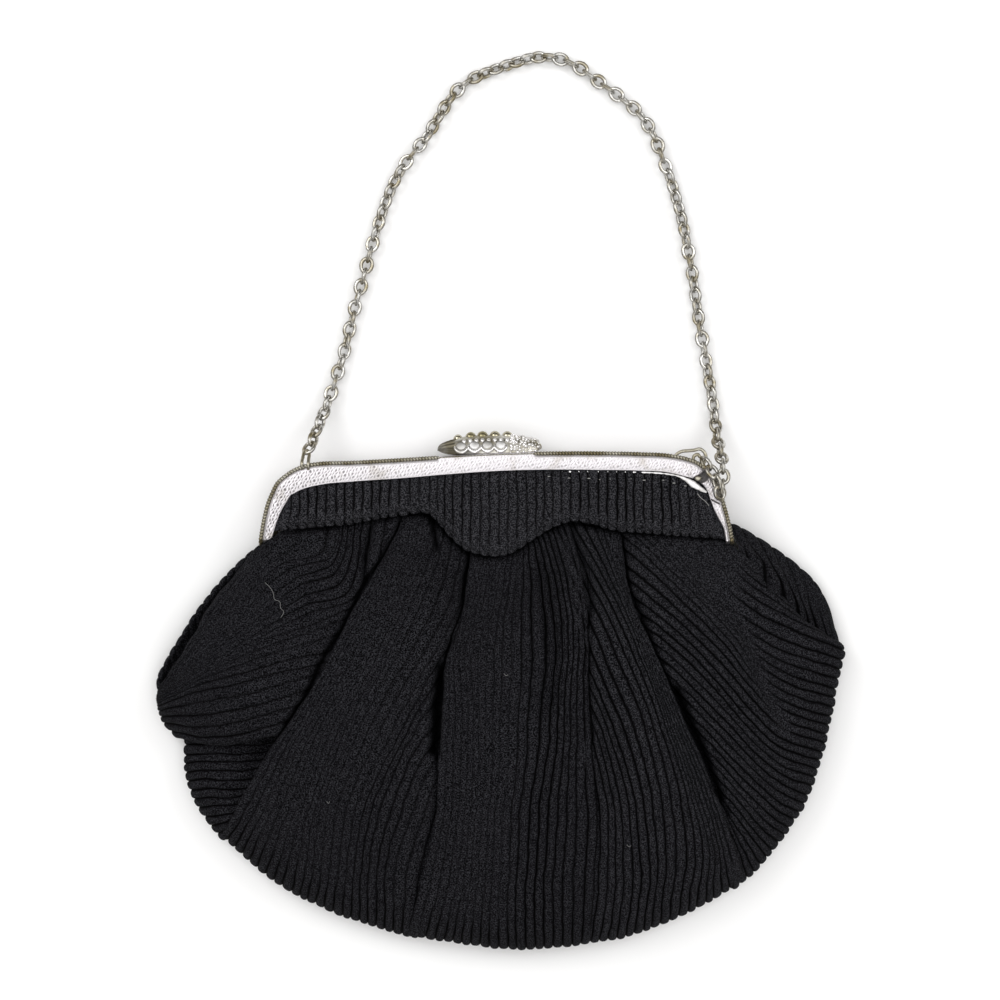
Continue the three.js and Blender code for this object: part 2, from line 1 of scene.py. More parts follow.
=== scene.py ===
import bmesh
import bpy
import numpy as np
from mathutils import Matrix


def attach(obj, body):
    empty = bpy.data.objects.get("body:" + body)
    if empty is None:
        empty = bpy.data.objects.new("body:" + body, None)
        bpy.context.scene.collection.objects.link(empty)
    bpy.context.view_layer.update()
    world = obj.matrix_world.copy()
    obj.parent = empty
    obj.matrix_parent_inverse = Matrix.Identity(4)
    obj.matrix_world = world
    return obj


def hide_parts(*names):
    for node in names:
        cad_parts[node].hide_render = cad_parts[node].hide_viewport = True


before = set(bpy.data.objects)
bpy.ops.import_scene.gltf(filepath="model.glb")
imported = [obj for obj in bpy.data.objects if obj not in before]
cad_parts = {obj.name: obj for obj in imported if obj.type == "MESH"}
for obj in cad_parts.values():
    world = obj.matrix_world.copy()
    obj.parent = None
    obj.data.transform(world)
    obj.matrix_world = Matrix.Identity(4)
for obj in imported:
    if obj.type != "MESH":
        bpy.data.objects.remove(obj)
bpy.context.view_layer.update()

mm = 0.001
turn = 2 * np.pi

# camera, table and light
shot = {
    "height": 900.0,  # camera above the table, mm
    "axis": (0.0, 69.9),  # the point straight below it
    "perPixel": 0.368,  # mm on the table for one pixel of the photo
    "middle": 500.0,  # the photo is 1000 x 1000
    "sensor": 36.0,
    "clipStart": 0.01,
    "tableSide": 18.0,  # m
    "tableTone": 0.9,
    "tableRough": 0.8,
    "tableShine": 0.1,
    "boxes": (  # x, y, z of each soft box, its side, watts
        (0, 60, 1400, 1300, 5.0),
        (-760, 640, 900, 700, 5.6),
        (820, 420, 820, 600, 3.2),
        (60, -900, 700, 600, 2.0),
    ),
    "boxesAim": (0, 50, 0),
    "roomStrength": 0.9,
    "room": (  # white overhead, dark and warm low down, so that metal edges have something to mirror
        (0.0, (0.05, 0.042, 0.025)),
        (0.36, (0.10, 0.09, 0.065)),
        (0.62, (0.75, 0.73, 0.72)),
        (0.85, (1, 1, 1)),
    ),
}


# pixel to table: the pixel's offset from the photo's middle, in mm about the camera axis
def planPoint(px, py):
    ax, ay = shot["axis"]
    return (px - shot["middle"]) * shot["perPixel"] + ax, (shot["middle"] - py) * shot["perPixel"] + ay


# a point seen at a place on the table, lifted to height z, slides towards the camera axis by z over height
def lifted(x, y, z):
    near = 1 - z / shot["height"]
    ax, ay = shot["axis"]
    return np.stack([ax + (x - ax) * near, ay + (y - ay) * near, z], axis=-1)


# the camera looks straight down, with a lens that takes in the photo's width at the table
def makeStage():
    scene = bpy.context.scene
    camera = bpy.data.cameras.new("photoCamera")
    camera.sensor_width = shot["sensor"]
    camera.lens = shot["sensor"] / 2 * shot["height"] / (shot["middle"] * shot["perPixel"])
    camera.clip_start = shot["clipStart"]
    eye = bpy.data.objects.new("photoCamera", camera)
    eye.location = (shot["axis"][0] * mm, shot["axis"][1] * mm, shot["height"] * mm)
    scene.collection.objects.link(eye)
    scene.camera = eye

    half = shot["tableSide"] / 2
    tableMesh = bpy.data.meshes.new("table")
    corners = [(-half, -half, 0), (half, -half, 0), (half, half, 0), (-half, half, 0)]
    tableMesh.from_pydata(corners, [], [(0, 1, 2, 3)])
    table = bpy.data.objects.new("table", tableMesh)
    scene.collection.objects.link(table)
    pale = bpy.data.materials.new("paleTable")
    pale.use_nodes = True
    shader = pale.node_tree.nodes["Principled BSDF"]
    shader.inputs["Base Color"].default_value = (shot["tableTone"],) * 3 + (1,)
    shader.inputs["Roughness"].default_value = shot["tableRough"]
    shader.inputs["Specular IOR Level"].default_value = shot["tableShine"]
    tableMesh.materials.append(pale)

    for i, (x, y, z, size, watts) in enumerate(shot["boxes"]):
        box = bpy.data.lights.new(f"softBox{i}", "AREA")
        box.size = size * mm
        box.energy = watts
        lamp = bpy.data.objects.new(f"softBox{i}", box)
        lamp.location = (x * mm, y * mm, z * mm)
        toBag = np.array(shot["boxesAim"]) - np.array([x, y, z])
        flat = np.hypot(toBag[0], toBag[1])
        lamp.rotation_euler = (np.arctan2(flat, -toBag[2]), 0, np.arctan2(toBag[1], toBag[0]) - np.pi / 2)
        scene.collection.objects.link(lamp)

    world = bpy.data.worlds.new("softRoom")
    scene.world = world
    world.use_nodes = True
    nodes, links = world.node_tree.nodes, world.node_tree.links
    nodes.clear()
    out = nodes.new("ShaderNodeOutputWorld")
    sky = nodes.new("ShaderNodeBackground")
    sky.inputs["Strength"].default_value = shot["roomStrength"]
    towards = nodes.new("ShaderNodeTexCoord")
    split = nodes.new("ShaderNodeSeparateXYZ")
    ramp = nodes.new("ShaderNodeValToRGB")
    while len(ramp.color_ramp.elements) < len(shot["room"]):
        ramp.color_ramp.elements.new(0.5)
    for element, (place, tone) in zip(ramp.color_ramp.elements, shot["room"]):
        element.position = place
        element.color = tone + (1,)
    links.new(towards.outputs["Generated"], split.inputs[0])
    links.new(split.outputs["Z"], ramp.inputs["Fac"])
    links.new(ramp.outputs["Color"], sky.inputs["Color"])
    links.new(sky.outputs["Background"], out.inputs["Surface"])
    scene.view_settings.view_transform = "Standard"
    print("stage: camera, table, soft boxes")


makeStage()

# small tools


# smooth curve through the rows of a table: cubic pieces, each row's slope taken from the rows beside it
def alongTable(keys, rows, at):
    keys = np.asarray(keys, float)
    rows = np.asarray(rows, float).reshape(len(keys), -1)
    at = np.asarray(at, float)
    slopes = np.gradient(rows, keys, axis=0)
    i = np.clip(np.searchsorted(keys, at, side="right") - 1, 0, len(keys) - 2)
    step = (keys[i + 1] - keys[i])[..., None]
    t = np.clip((at - keys[i])[..., None] / step, 0, 1)
    start = (1 + 2 * t) * (1 - t) ** 2 * rows[i] + t * (1 - t) ** 2 * step * slopes[i]
    end = t * t * (3 - 2 * t) * rows[i + 1] + t * t * (t - 1) * step * slopes[i + 1]
    return start + end


# 0 below the first value, 1 above the second, eased between them
def ease(low, high, value):
    t = np.clip((value - low) / (high - low), 0, 1)
    return t * t * (3 - 2 * t)


# vectors stretched or shortened to one unit
def unit(vectors):
    return vectors / np.maximum(np.linalg.norm(vectors, axis=-1, keepdims=True), 1e-9)


# angles of a full turn in equal steps
def circle(count):
    return np.arange(count) * turn / count


# length run along a row of points, from the first
def runAlong(points):
    return np.append(0, np.cumsum(np.linalg.norm(np.diff(points, axis=0), axis=1)))


# length left to the end of each column of a grid
def runToEnd(x, y):
    step = np.hypot(np.diff(x, axis=0), np.diff(y, axis=0))
    return np.concatenate([np.cumsum(step[::-1], axis=0)[::-1], np.zeros((1, x.shape[1]))])


# columns of a table read off in straight steps at places along its run
def readOff(at, run, rows):
    return np.stack([np.interp(at, run, column) for column in rows.T], axis=-1)


# the last row of a grid held for some more rows
def holdLast(values, rows):
    return np.concatenate([values, np.repeat(values[-1:], rows, axis=0)])


# distance of points from a line of straight pieces, the least over the pieces
def fromLine(x, y, line):
    best = np.full(np.shape(x), 1e9)
    for (ax, ay), (bx, by) in zip(line[:-1], line[1:]):
        dx, dy = bx - ax, by - ay
        t = np.clip(((x - ax) * dx + (y - ay) * dy) / (dx**2 + dy**2), 0, 1)
        best = np.minimum(best, np.hypot(x - ax - t * dx, y - ay - t * dy))
    return best


# 1 on a line of pixels, falling off on both sides as a bell of the given width in mm
def nearLine(px, py, line, wide):
    return np.exp(-((fromLine(px, py, line) * shot["perPixel"] / wide) ** 2))


# bell-shaped mounds added up: pixel x and y, radius in x and in y, height in mm
def mounds(px, py, rows):
    total = np.zeros(np.shape(px))
    for cx, cy, rx, ry, high in rows:
        total = total + high * np.exp(-(((px - cx) / rx) ** 2) - ((py - cy) / ry) ** 2)
    return total


# photo pixels with a height z, in rows, to places in the model
def spot(rows):
    rows = np.asarray(rows, float)
    x, y = planPoint(rows[..., 0], rows[..., 1])
    return lifted(x, y, rows[..., 2])


# evenly spaced points along a smooth curve through photo spots
def spotPath(rows, count):
    places = spot(rows)
    run = runAlong(places)
    return alongTable(run, places, np.linspace(0, run[-1], count))


# slow even ripple: three sine waves in set directions, about -1 to 1
def ripple(x, y, length, offset=0.0):
    a = np.sin(turn * (0.9 * x + 0.44 * y) / length + 1.7 + offset)
    b = np.sin(turn * (-0.5 * x + 1.0 * y) / (length * 0.73) + 0.4 + 2.1 * offset)
    c = np.sin(turn * (0.2 * x - 0.8 * y) / (length * 1.31) + 3.3 + 1.3 * offset)
    return (a + b + c) / 2.2


# grids of points (mm) as one mesh of quads; closed ways join the last row or column to the first
def gridPiece(name, points, finish, closeRows=False, closeCols=False, mergePoles=False, flip=False,
              capEnds=False, marks=None):
    points = np.asarray(points, float)
    if points.ndim == 3:
        points = points[None]
    count, rows, cols = points.shape[:3]
    index = np.arange(rows * cols).reshape(rows, cols)
    if closeRows:
        index = np.concatenate([index, index[:1]], axis=0)
    if closeCols:
        index = np.concatenate([index, index[:, :1]], axis=1)
    corners = [index[:-1, :-1], index[:-1, 1:], index[1:, 1:], index[1:, :-1]]
    quad = np.stack(corners, axis=-1).reshape(-1, 4)
    if flip:
        quad = quad[:, ::-1]
    quads = (quad[None] + (np.arange(count) * rows * cols)[:, None, None]).reshape(-1, 4)
    mesh = bpy.data.meshes.new(name)
    mesh.vertices.add(count * rows * cols)
    mesh.vertices.foreach_set("co", (points * mm).astype(np.float32).ravel())
    mesh.loops.add(quads.size)
    mesh.loops.foreach_set("vertex_index", quads.astype(np.int32).ravel())
    mesh.polygons.add(len(quads))
    mesh.polygons.foreach_set("loop_start", np.arange(0, quads.size, 4, dtype=np.int32))
    mesh.update(calc_edges=True)
    for mark, values in (marks or {}).items():
        layer = mesh.attributes.new(mark, "FLOAT", "POINT")
        layer.data.foreach_set("value", np.broadcast_to(values, points.shape[:3]).astype(np.float32).ravel())
    if mergePoles or capEnds:
        work = bmesh.new()
        work.from_mesh(mesh)
        if mergePoles:
            bmesh.ops.remove_doubles(work, verts=work.verts, dist=1e-6)
        if capEnds:
            bmesh.ops.holes_fill(work, edges=[e for e in work.edges if e.is_boundary], sides=0)
        bmesh.ops.recalc_face_normals(work, faces=work.faces)
        work.to_mesh(mesh)
        work.free()
    mesh.validate()
    mesh.polygons.foreach_set("use_smooth", np.ones(len(mesh.polygons), bool))
    mesh.materials.append(finish)
    piece = bpy.data.objects.new(name, mesh)
    bpy.context.scene.collection.objects.link(piece)
    return piece


# a piece on its body, in place of a CAD node where it stands for one
def settle(piece, body, node=None):
    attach(piece, body)
    if node:
        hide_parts(node)


# round beads: a small grid from pole to pole, scaled by each bead's radius and put at its centre
def beadGrids(centres, radii, rows=7, cols=10, squash=(1, 1, 1)):
    lat = np.linspace(-np.pi / 2, np.pi / 2, rows)[:, None]
    lon = circle(cols)[None]
    ball = np.stack([np.cos(lat) * np.cos(lon), np.cos(lat) * np.sin(lon), np.sin(lat) + 0 * lon], axis=-1)
    ball = ball * np.asarray(squash, float)
    radii = np.broadcast_to(np.asarray(radii, float), (len(centres),))
    return np.asarray(centres, float)[:, None, None] + radii[:, None, None, None] * ball[None]


# tube: a circle carried along a path, on axes square to the path, one of them level
def tubeGrid(path, radius, sides=10):
    along = unit(np.gradient(path, axis=0))
    across = unit(np.cross(along, (0, 0, 1.0)))
    over = np.cross(across, along)
    angle = circle(sides)[None, :, None]
    radius = np.asarray(radius, float)
    if radius.ndim < 2:
        radius = radius.reshape(-1, 1)
    radius = np.broadcast_to(radius, (len(path), sides))[..., None]
    return path[:, None] + radius * (np.cos(angle) * across[:, None] + np.sin(angle) * over[:, None])


# finishes

crepeLook = {
    "grainScale": 2250.0,
    "grainRough": 0.6,
    "speckRange": (0.45, 0.63),  # where the grain turns from shaded yarn to pale speck
    "fadeScale": 26.0,
    "fadeRange": (0.3, 0.75),
    "fadeShare": 0.3,
    "grooveShadeRange": (0.12, 0.7),  # values of the groove mark over which painted shade darkens the cloth
    # share of its colour that the cloth keeps in the painted shade of a groove
    "grooveShadeTone": 0.06,
    "rough": 0.85,
    "shine": 0.03,
    "bump": (0.6, 0.0004),  # strength, and height in m
    "tones": {  # shaded yarn, pale speck, faded dye
        "blackCrepe": ((0.0003, 0.0003, 0.0006), (0.0325, 0.0325, 0.0374), (0.006, 0.006, 0.0074)),
        # painted light: a lighter copy of the black crepe for the right-hand gathers, standing in for the
        # brighter light there
        "rightLitCrepe": ((0.0004, 0.0004, 0.0007), (0.0395, 0.0395, 0.0452), (0.0079, 0.0079, 0.0096)),
        "yokeCrepe": ((0.0011, 0.0011, 0.0015), (0.0555, 0.0555, 0.0622), (0.0138, 0.0138, 0.0164)),
    },
}
silverLook = {
    "patchDetail": (4.0, 0.6),
    "patchRange": (0.95, 1.2),  # patch noise plus the finish's amount, from clean to tarnished
    "patchDull": 0.22,
    "grainScale": 2500.0,
    "grainRange": (0.2, 0.8),
    "grainDull": (-0.05, 0.08),
    "wornShade": 0.1,  # the wear-and-shade mark (real wear and painted shade) turns metal to this share of its tarnish
    "wornDull": 0.4,
    "bump": (0.15, 0.0001),
    "tones": {  # clean, tarnished, amount of tarnish, roughness, patches per metre
        "stippleSilver": ((0.66, 0.635, 0.655), (0.46, 0.42, 0.37), 0.4, 0.36, 120.0),
        "rimSilver": ((0.46, 0.44, 0.37), (0.2, 0.17, 0.1), 0.6, 0.22, 120.0),
        "claspSilver": ((0.9, 0.89, 0.89), (0.4, 0.38, 0.33), 0.5, 0.2, 120.0),
        "claspDark": ((0.66, 0.65, 0.62), (0.26, 0.235, 0.17), 0.6, 0.18, 120.0),
        "crownOlive": ((0.64, 0.61, 0.52), (0.27, 0.24, 0.14), 0.6, 0.08, 120.0),
        "chainSilver": ((0.64, 0.63, 0.6), (0.32, 0.27, 0.16), 0.52, 0.13, 200.0),
        "lipMetal": ((0.8, 0.79, 0.79), (0.5, 0.48, 0.45), 0.4, 0.5, 120.0),
    },
}
fibreLook = {
    "rough": 0.8,
    "tones": {"lintGrey": (0.13, 0.13, 0.13), "paleThread": (0.3, 0.3, 0.29)},
}


# a value put on a socket, or a link made to it where another node gives the value
def feed(links, value, socket):
    if hasattr(value, "node"):
        links.new(value, socket)
    else:
        socket.default_value = value


# a named node group with its sockets; build(nodes, links, into, outOf) fills it
def nodeGroup(name, inputs, outputs, build):
    group = bpy.data.node_groups.new(name, "ShaderNodeTree")
    for label, kind in inputs:
        group.interface.new_socket(name=label, in_out="INPUT", socket_type=kind)
    for label, kind in outputs:
        group.interface.new_socket(name=label, in_out="OUTPUT", socket_type=kind)
    into = group.nodes.new("NodeGroupInput")
    outOf = group.nodes.new("NodeGroupOutput")
    build(group.nodes, group.links, into.outputs, outOf.inputs)
    return group


# a group placed in a material with its own values
def placeGroup(nodes, group, values):
    node = nodes.new("ShaderNodeGroup")
    node.node_tree = group
    for label, value in values.items():
        node.inputs[label].default_value = value
    return node.outputs


# a mark that the piece carries on its points
def markNode(nodes, name):
    node = nodes.new("ShaderNodeAttribute")
    node.attribute_name = name
    return node.outputs["Fac"]


def noiseNode(nodes, links, vector, scale, detail=2.0, rough=0.55):
    node = nodes.new("ShaderNodeTexNoise")
    for label, value in (("Vector", vector), ("Scale", scale), ("Detail", detail), ("Roughness", rough)):
        feed(links, value, node.inputs[label])
    return node.outputs["Fac"]


def rangeNode(nodes, links, value, span, target=(0.0, 1.0)):
    node = nodes.new("ShaderNodeMapRange")
    for label, number in zip(("Value", "From Min", "From Max", "To Min", "To Max"), (value, *span, *target)):
        feed(links, number, node.inputs[label])
    return node.outputs["Result"]


def mixNode(nodes, links, factor, first, second, blend="MIX"):
    node = nodes.new("ShaderNodeMix")
    node.data_type = "RGBA"
    node.blend_type = blend
    for place, value in ((0, factor), (6, first), (7, second)):  # the mix's factor and its two colours
        feed(links, value, node.inputs[place])
    return node.outputs[2]


def mathNode(nodes, links, kind, first, second):
    node = nodes.new("ShaderNodeMath")
    node.operation = kind
    for socket, value in zip(node.inputs, (first, second)):
        feed(links, value, socket)
    return node.outputs[0]


# crepe: fine crinkled grain, pale specks where the yarn catches light, and a slow fading of the dye
def crepeBuild(nodes, links, into, outOf):
    place = nodes.new("ShaderNodeTexCoord").outputs["Object"]
    grain = noiseNode(nodes, links, place, into["Grain Scale"], rough=crepeLook["grainRough"])
    fade = noiseNode(nodes, links, place, crepeLook["fadeScale"])
    specks = rangeNode(nodes, links, grain, crepeLook["speckRange"])
    tone = mixNode(nodes, links, specks, into["Cloth"], into["Speck"])
    faded = rangeNode(nodes, links, fade, crepeLook["fadeRange"], (0.0, crepeLook["fadeShare"]))
    links.new(mixNode(nodes, links, faded, tone, into["Fade"]), outOf["Color"])
    links.new(grain, outOf["Height"])


crepe = nodeGroup(
    "crepeGrain",
    (
        ("Cloth", "NodeSocketColor"),
        ("Speck", "NodeSocketColor"),
        ("Fade", "NodeSocketColor"),
        ("Grain Scale", "NodeSocketFloat"),
    ),
    (("Color", "NodeSocketColor"), ("Height", "NodeSocketFloat")),
    crepeBuild,
)


# tarnish: clean metal with brown-olive patches, duller there, over a fine casting grain
def tarnishBuild(nodes, links, into, outOf):
    place = nodes.new("ShaderNodeTexCoord").outputs["Object"]
    patch = noiseNode(nodes, links, place, into["Patch Scale"], *silverLook["patchDetail"])
    grain = noiseNode(nodes, links, place, into["Grain Scale"])
    shift = mathNode(nodes, links, "ADD", patch, into["Amount"])
    mask = rangeNode(nodes, links, shift, silverLook["patchRange"])
    links.new(mixNode(nodes, links, mask, into["Clean"], into["Tarnish"]), outOf["Color"])
    dull = mathNode(nodes, links, "MULTIPLY", mask, silverLook["patchDull"])
    uneven = rangeNode(nodes, links, grain, silverLook["grainRange"], silverLook["grainDull"])
    extra = mathNode(nodes, links, "ADD", dull, uneven)
    links.new(mathNode(nodes, links, "ADD", into["Roughness"], extra), outOf["Roughness"])
    links.new(grain, outOf["Height"])


tarnish = nodeGroup(
    "metalTarnish",
    (
        ("Clean", "NodeSocketColor"),
        ("Tarnish", "NodeSocketColor"),
        ("Patch Scale", "NodeSocketFloat"),
        ("Grain Scale", "NodeSocketFloat"),
        ("Amount", "NodeSocketFloat"),
        ("Roughness", "NodeSocketFloat"),
    ),
    (("Color", "NodeSocketColor"), ("Roughness", "NodeSocketFloat"), ("Height", "NodeSocketFloat")),
    tarnishBuild,
)


def blankFinish(name):
    finish = bpy.data.materials.new(name)
    finish.use_nodes = True
    nodes, links = finish.node_tree.nodes, finish.node_tree.links
    return finish, nodes, links, nodes["Principled BSDF"]


def bumpInto(nodes, links, shader, height, strength, distance):
    bump = nodes.new("ShaderNodeBump")
    bump.inputs["Strength"].default_value = strength
    bump.inputs["Distance"].default_value = distance
    links.new(height, bump.inputs["Height"])
    links.new(bump.outputs["Normal"], shader.inputs["Normal"])


# cloth: crepe grain, and painted shade down in the grooves between ribs, which the piece's groove mark gives
def clothFinish(name, yarn, speck, fade):
    finish, nodes, links, shader = blankFinish(name)
    values = {"Cloth": yarn + (1,), "Speck": speck + (1,), "Fade": fade + (1,)}
    grain = placeGroup(nodes, crepe, values | {"Grain Scale": crepeLook["grainScale"]})
    dark = (1.0, crepeLook["grooveShadeTone"])
    # painted shade: the groove mark darkens the cloth towards the groove shade tone
    deep = rangeNode(nodes, links, markNode(nodes, "groove"), crepeLook["grooveShadeRange"], dark)
    shade = nodes.new("ShaderNodeCombineColor")
    for channel in range(3):
        links.new(deep, shade.inputs[channel])
    tone = mixNode(nodes, links, 1.0, grain["Color"], shade.outputs[0], "MULTIPLY")
    links.new(tone, shader.inputs["Base Color"])
    shader.inputs["Roughness"].default_value = crepeLook["rough"]
    shader.inputs["Specular IOR Level"].default_value = crepeLook["shine"]
    bumpInto(nodes, links, shader, grain["Height"], *crepeLook["bump"])
    return finish


# metal: tarnished silver, which the piece's wear-and-shade mark turns dark and dull: real wear in some
# places, painted shade in others
def metalFinish(name, clean, dirty, amount, rough, patchScale):
    finish, nodes, links, shader = blankFinish(name)
    values = {"Clean": clean + (1,), "Tarnish": dirty + (1,), "Amount": amount, "Roughness": rough}
    scales = {"Patch Scale": patchScale, "Grain Scale": silverLook["grainScale"]}
    wear = placeGroup(nodes, tarnish, values | scales)
    mark = markNode(nodes, "wearAndShade")
    markedTone = tuple(silverLook["wornShade"] * channel for channel in dirty) + (1,)
    links.new(mixNode(nodes, links, mark, wear["Color"], markedTone), shader.inputs["Base Color"])
    dull = mathNode(nodes, links, "MULTIPLY", mark, silverLook["wornDull"])
    links.new(mathNode(nodes, links, "ADD", wear["Roughness"], dull), shader.inputs["Roughness"])
    shader.inputs["Metallic"].default_value = 1.0
    bumpInto(nodes, links, shader, wear["Height"], *silverLook["bump"])
    return finish


def fibreFinish(name, tone):
    finish, _, _, shader = blankFinish(name)
    shader.inputs["Base Color"].default_value = tone + (1,)
    shader.inputs["Roughness"].default_value = fibreLook["rough"]
    return finish


finishes = {name: clothFinish(name, *tones) for name, tones in crepeLook["tones"].items()}
finishes |= {name: metalFinish(name, *tones) for name, tones in silverLook["tones"].items()}
finishes |= {name: fibreFinish(name, tone) for name, tone in fibreLook["tones"].items()}
print("finishes:", ", ".join(finishes))

# ribbed cloth

cloth = {
    "knots": 6,  # points down each rib in a guide table
    "ribColumns": (0.0, 0.045, 0.1, 0.19, 0.34, 0.5, 0.66, 0.81, 0.9, 0.955),
    "ribFlatness": 3.2,  # power of the rib's crown: higher is flatter with a narrower groove
    "ribDepth": 0.95,
    "ribShare": 0.32,  # a rib is never deeper than this share of its width
    "ribPitch": 3.4,  # the cloth's own ribs, as they lie open along the free edge
    "widthJitter": 0.06,
    "grooveUneven": (0.72, 1.12),  # from rib to rib
    "grooveTurn": (0.25, 0.6),  # along a rib, its groove goes from the start's value to the end's
    "frontRows": 132,
    "frontSeed": 11,
    "backSeed": 41,
    "rollRows": 12,
    "frontRoll": 8.0,  # how far the edge turns in underneath
    "backRoll": 4.0,
    "outRows": 3,  # the way out at an edge is taken over so many rows
    "floorGap": 0.5,
    "backLeast": 0.3,  # no rib of the back lies lower
    "edgeHeight": 7.0,
    "hemHeight": 14.8,
    "bellyHeight": 32.0,
    "bellyRise": 58.0,  # below the hem the front swells to full height over this
    "liftRise": 30.0,  # and each gather to its own lift over this
    "edgeReach": 84.0,
    "edgePower": 2.5,
    "edgeGroove": 0.95,  # how open the grooves are at the free edge
    "edgeGrooveRun": (13.0, 2.0),  # reached between these distances from it
    "hemGroove": (  # the gathers dip under the hem: pixel x and how deep
        (250, 1.0), (300, 1.8), (360, 4.5), (400, 6.0), (640, 6.0), (690, 3.5), (740, 2.0),
    ),
    "hemWidth": 1.1,
    "pressed": 0.8,  # how far ribs close where a crease presses them flat
    "wavers": (  # unsteady run of the folds and of the grooves: how far, wave length, offsets in x and y
        (0.5, 46.0, 0.3, 1.9),
        (0.2, 9.0, 0.7, 2.6),
    ),
    "dimples": (0.35, 30.0, 0.8),  # slow rise and fall of the front: height, wave length, offset
    "dimpleEdge": 25.0,  # dying away over this at the edge
}

# fold lines on the front, as pixels down the photo
folds = {
    "puff": (
        (401, 524), (381, 564), (366, 582), (346, 624), (319, 664), (303, 700), (279, 738), (261, 764),
        (237, 800),
    ),
    "centreLeft": (
        (471, 557), (466, 574), (463, 600), (457, 628), (448, 652), (444, 680), (441, 715), (442, 758),
    ),
    "centreDart": ((568, 526), (584, 568), (590, 600), (584, 632), (588, 670), (589, 710), (590, 735)),
    "centreRight": (
        (622, 538), (625, 560), (629, 590), (646, 628), (668, 680), (692, 734), (712, 790), (727, 811),
    ),
    "shoulderLeft": (
        (255, 549), (245, 563), (234, 577.5), (214, 602), (198, 622), (187, 644), (174, 666), (166, 679),
    ),
    "brimRight": ((727, 550), (735, 551), (743, 557)),
    "puffUnder": ((158, 722), (183, 740), (232, 747), (262, 750)),
    "valley": ((540, 572), (547, 606), (555, 652), (553, 700)),
    "tuckLeft": ((432, 515), (437, 548)),
    "tongue": ((372, 529), (366, 552), (366, 582)),
    "gapLeft": ((442, 668), (437, 706), (436, 752)),
    "gapRight": ((677, 690), (697, 734), (711, 772), (722, 797)),
    "seamLeft": ((442, 758), (437, 800), (430, 840), (420, 885), (407, 940)),
    "seamCentre": ((590, 735), (596, 790), (597, 840), (594, 900), (589, 950)),
    "seamRight": ((727, 811), (738, 845), (747, 885)),
    "crest": ((683, 547), (704, 568), (722, 592), (741, 626), (754, 660), (767, 697), (784, 727)),
}

# hem of the front yoke: x and y pixels
hemLine = np.array([
    (250, 533), (272, 530), (330, 525.5), (375, 519), (403, 514), (420, 511), (430, 514), (440, 524),
    (452, 537), (461, 546), (470, 552), (480, 554), (508, 554), (520, 548), (536, 536), (556, 526),
    (567, 521), (590, 525), (618, 530), (656, 533), (700, 537), (722, 538), (760, 545),
], float)

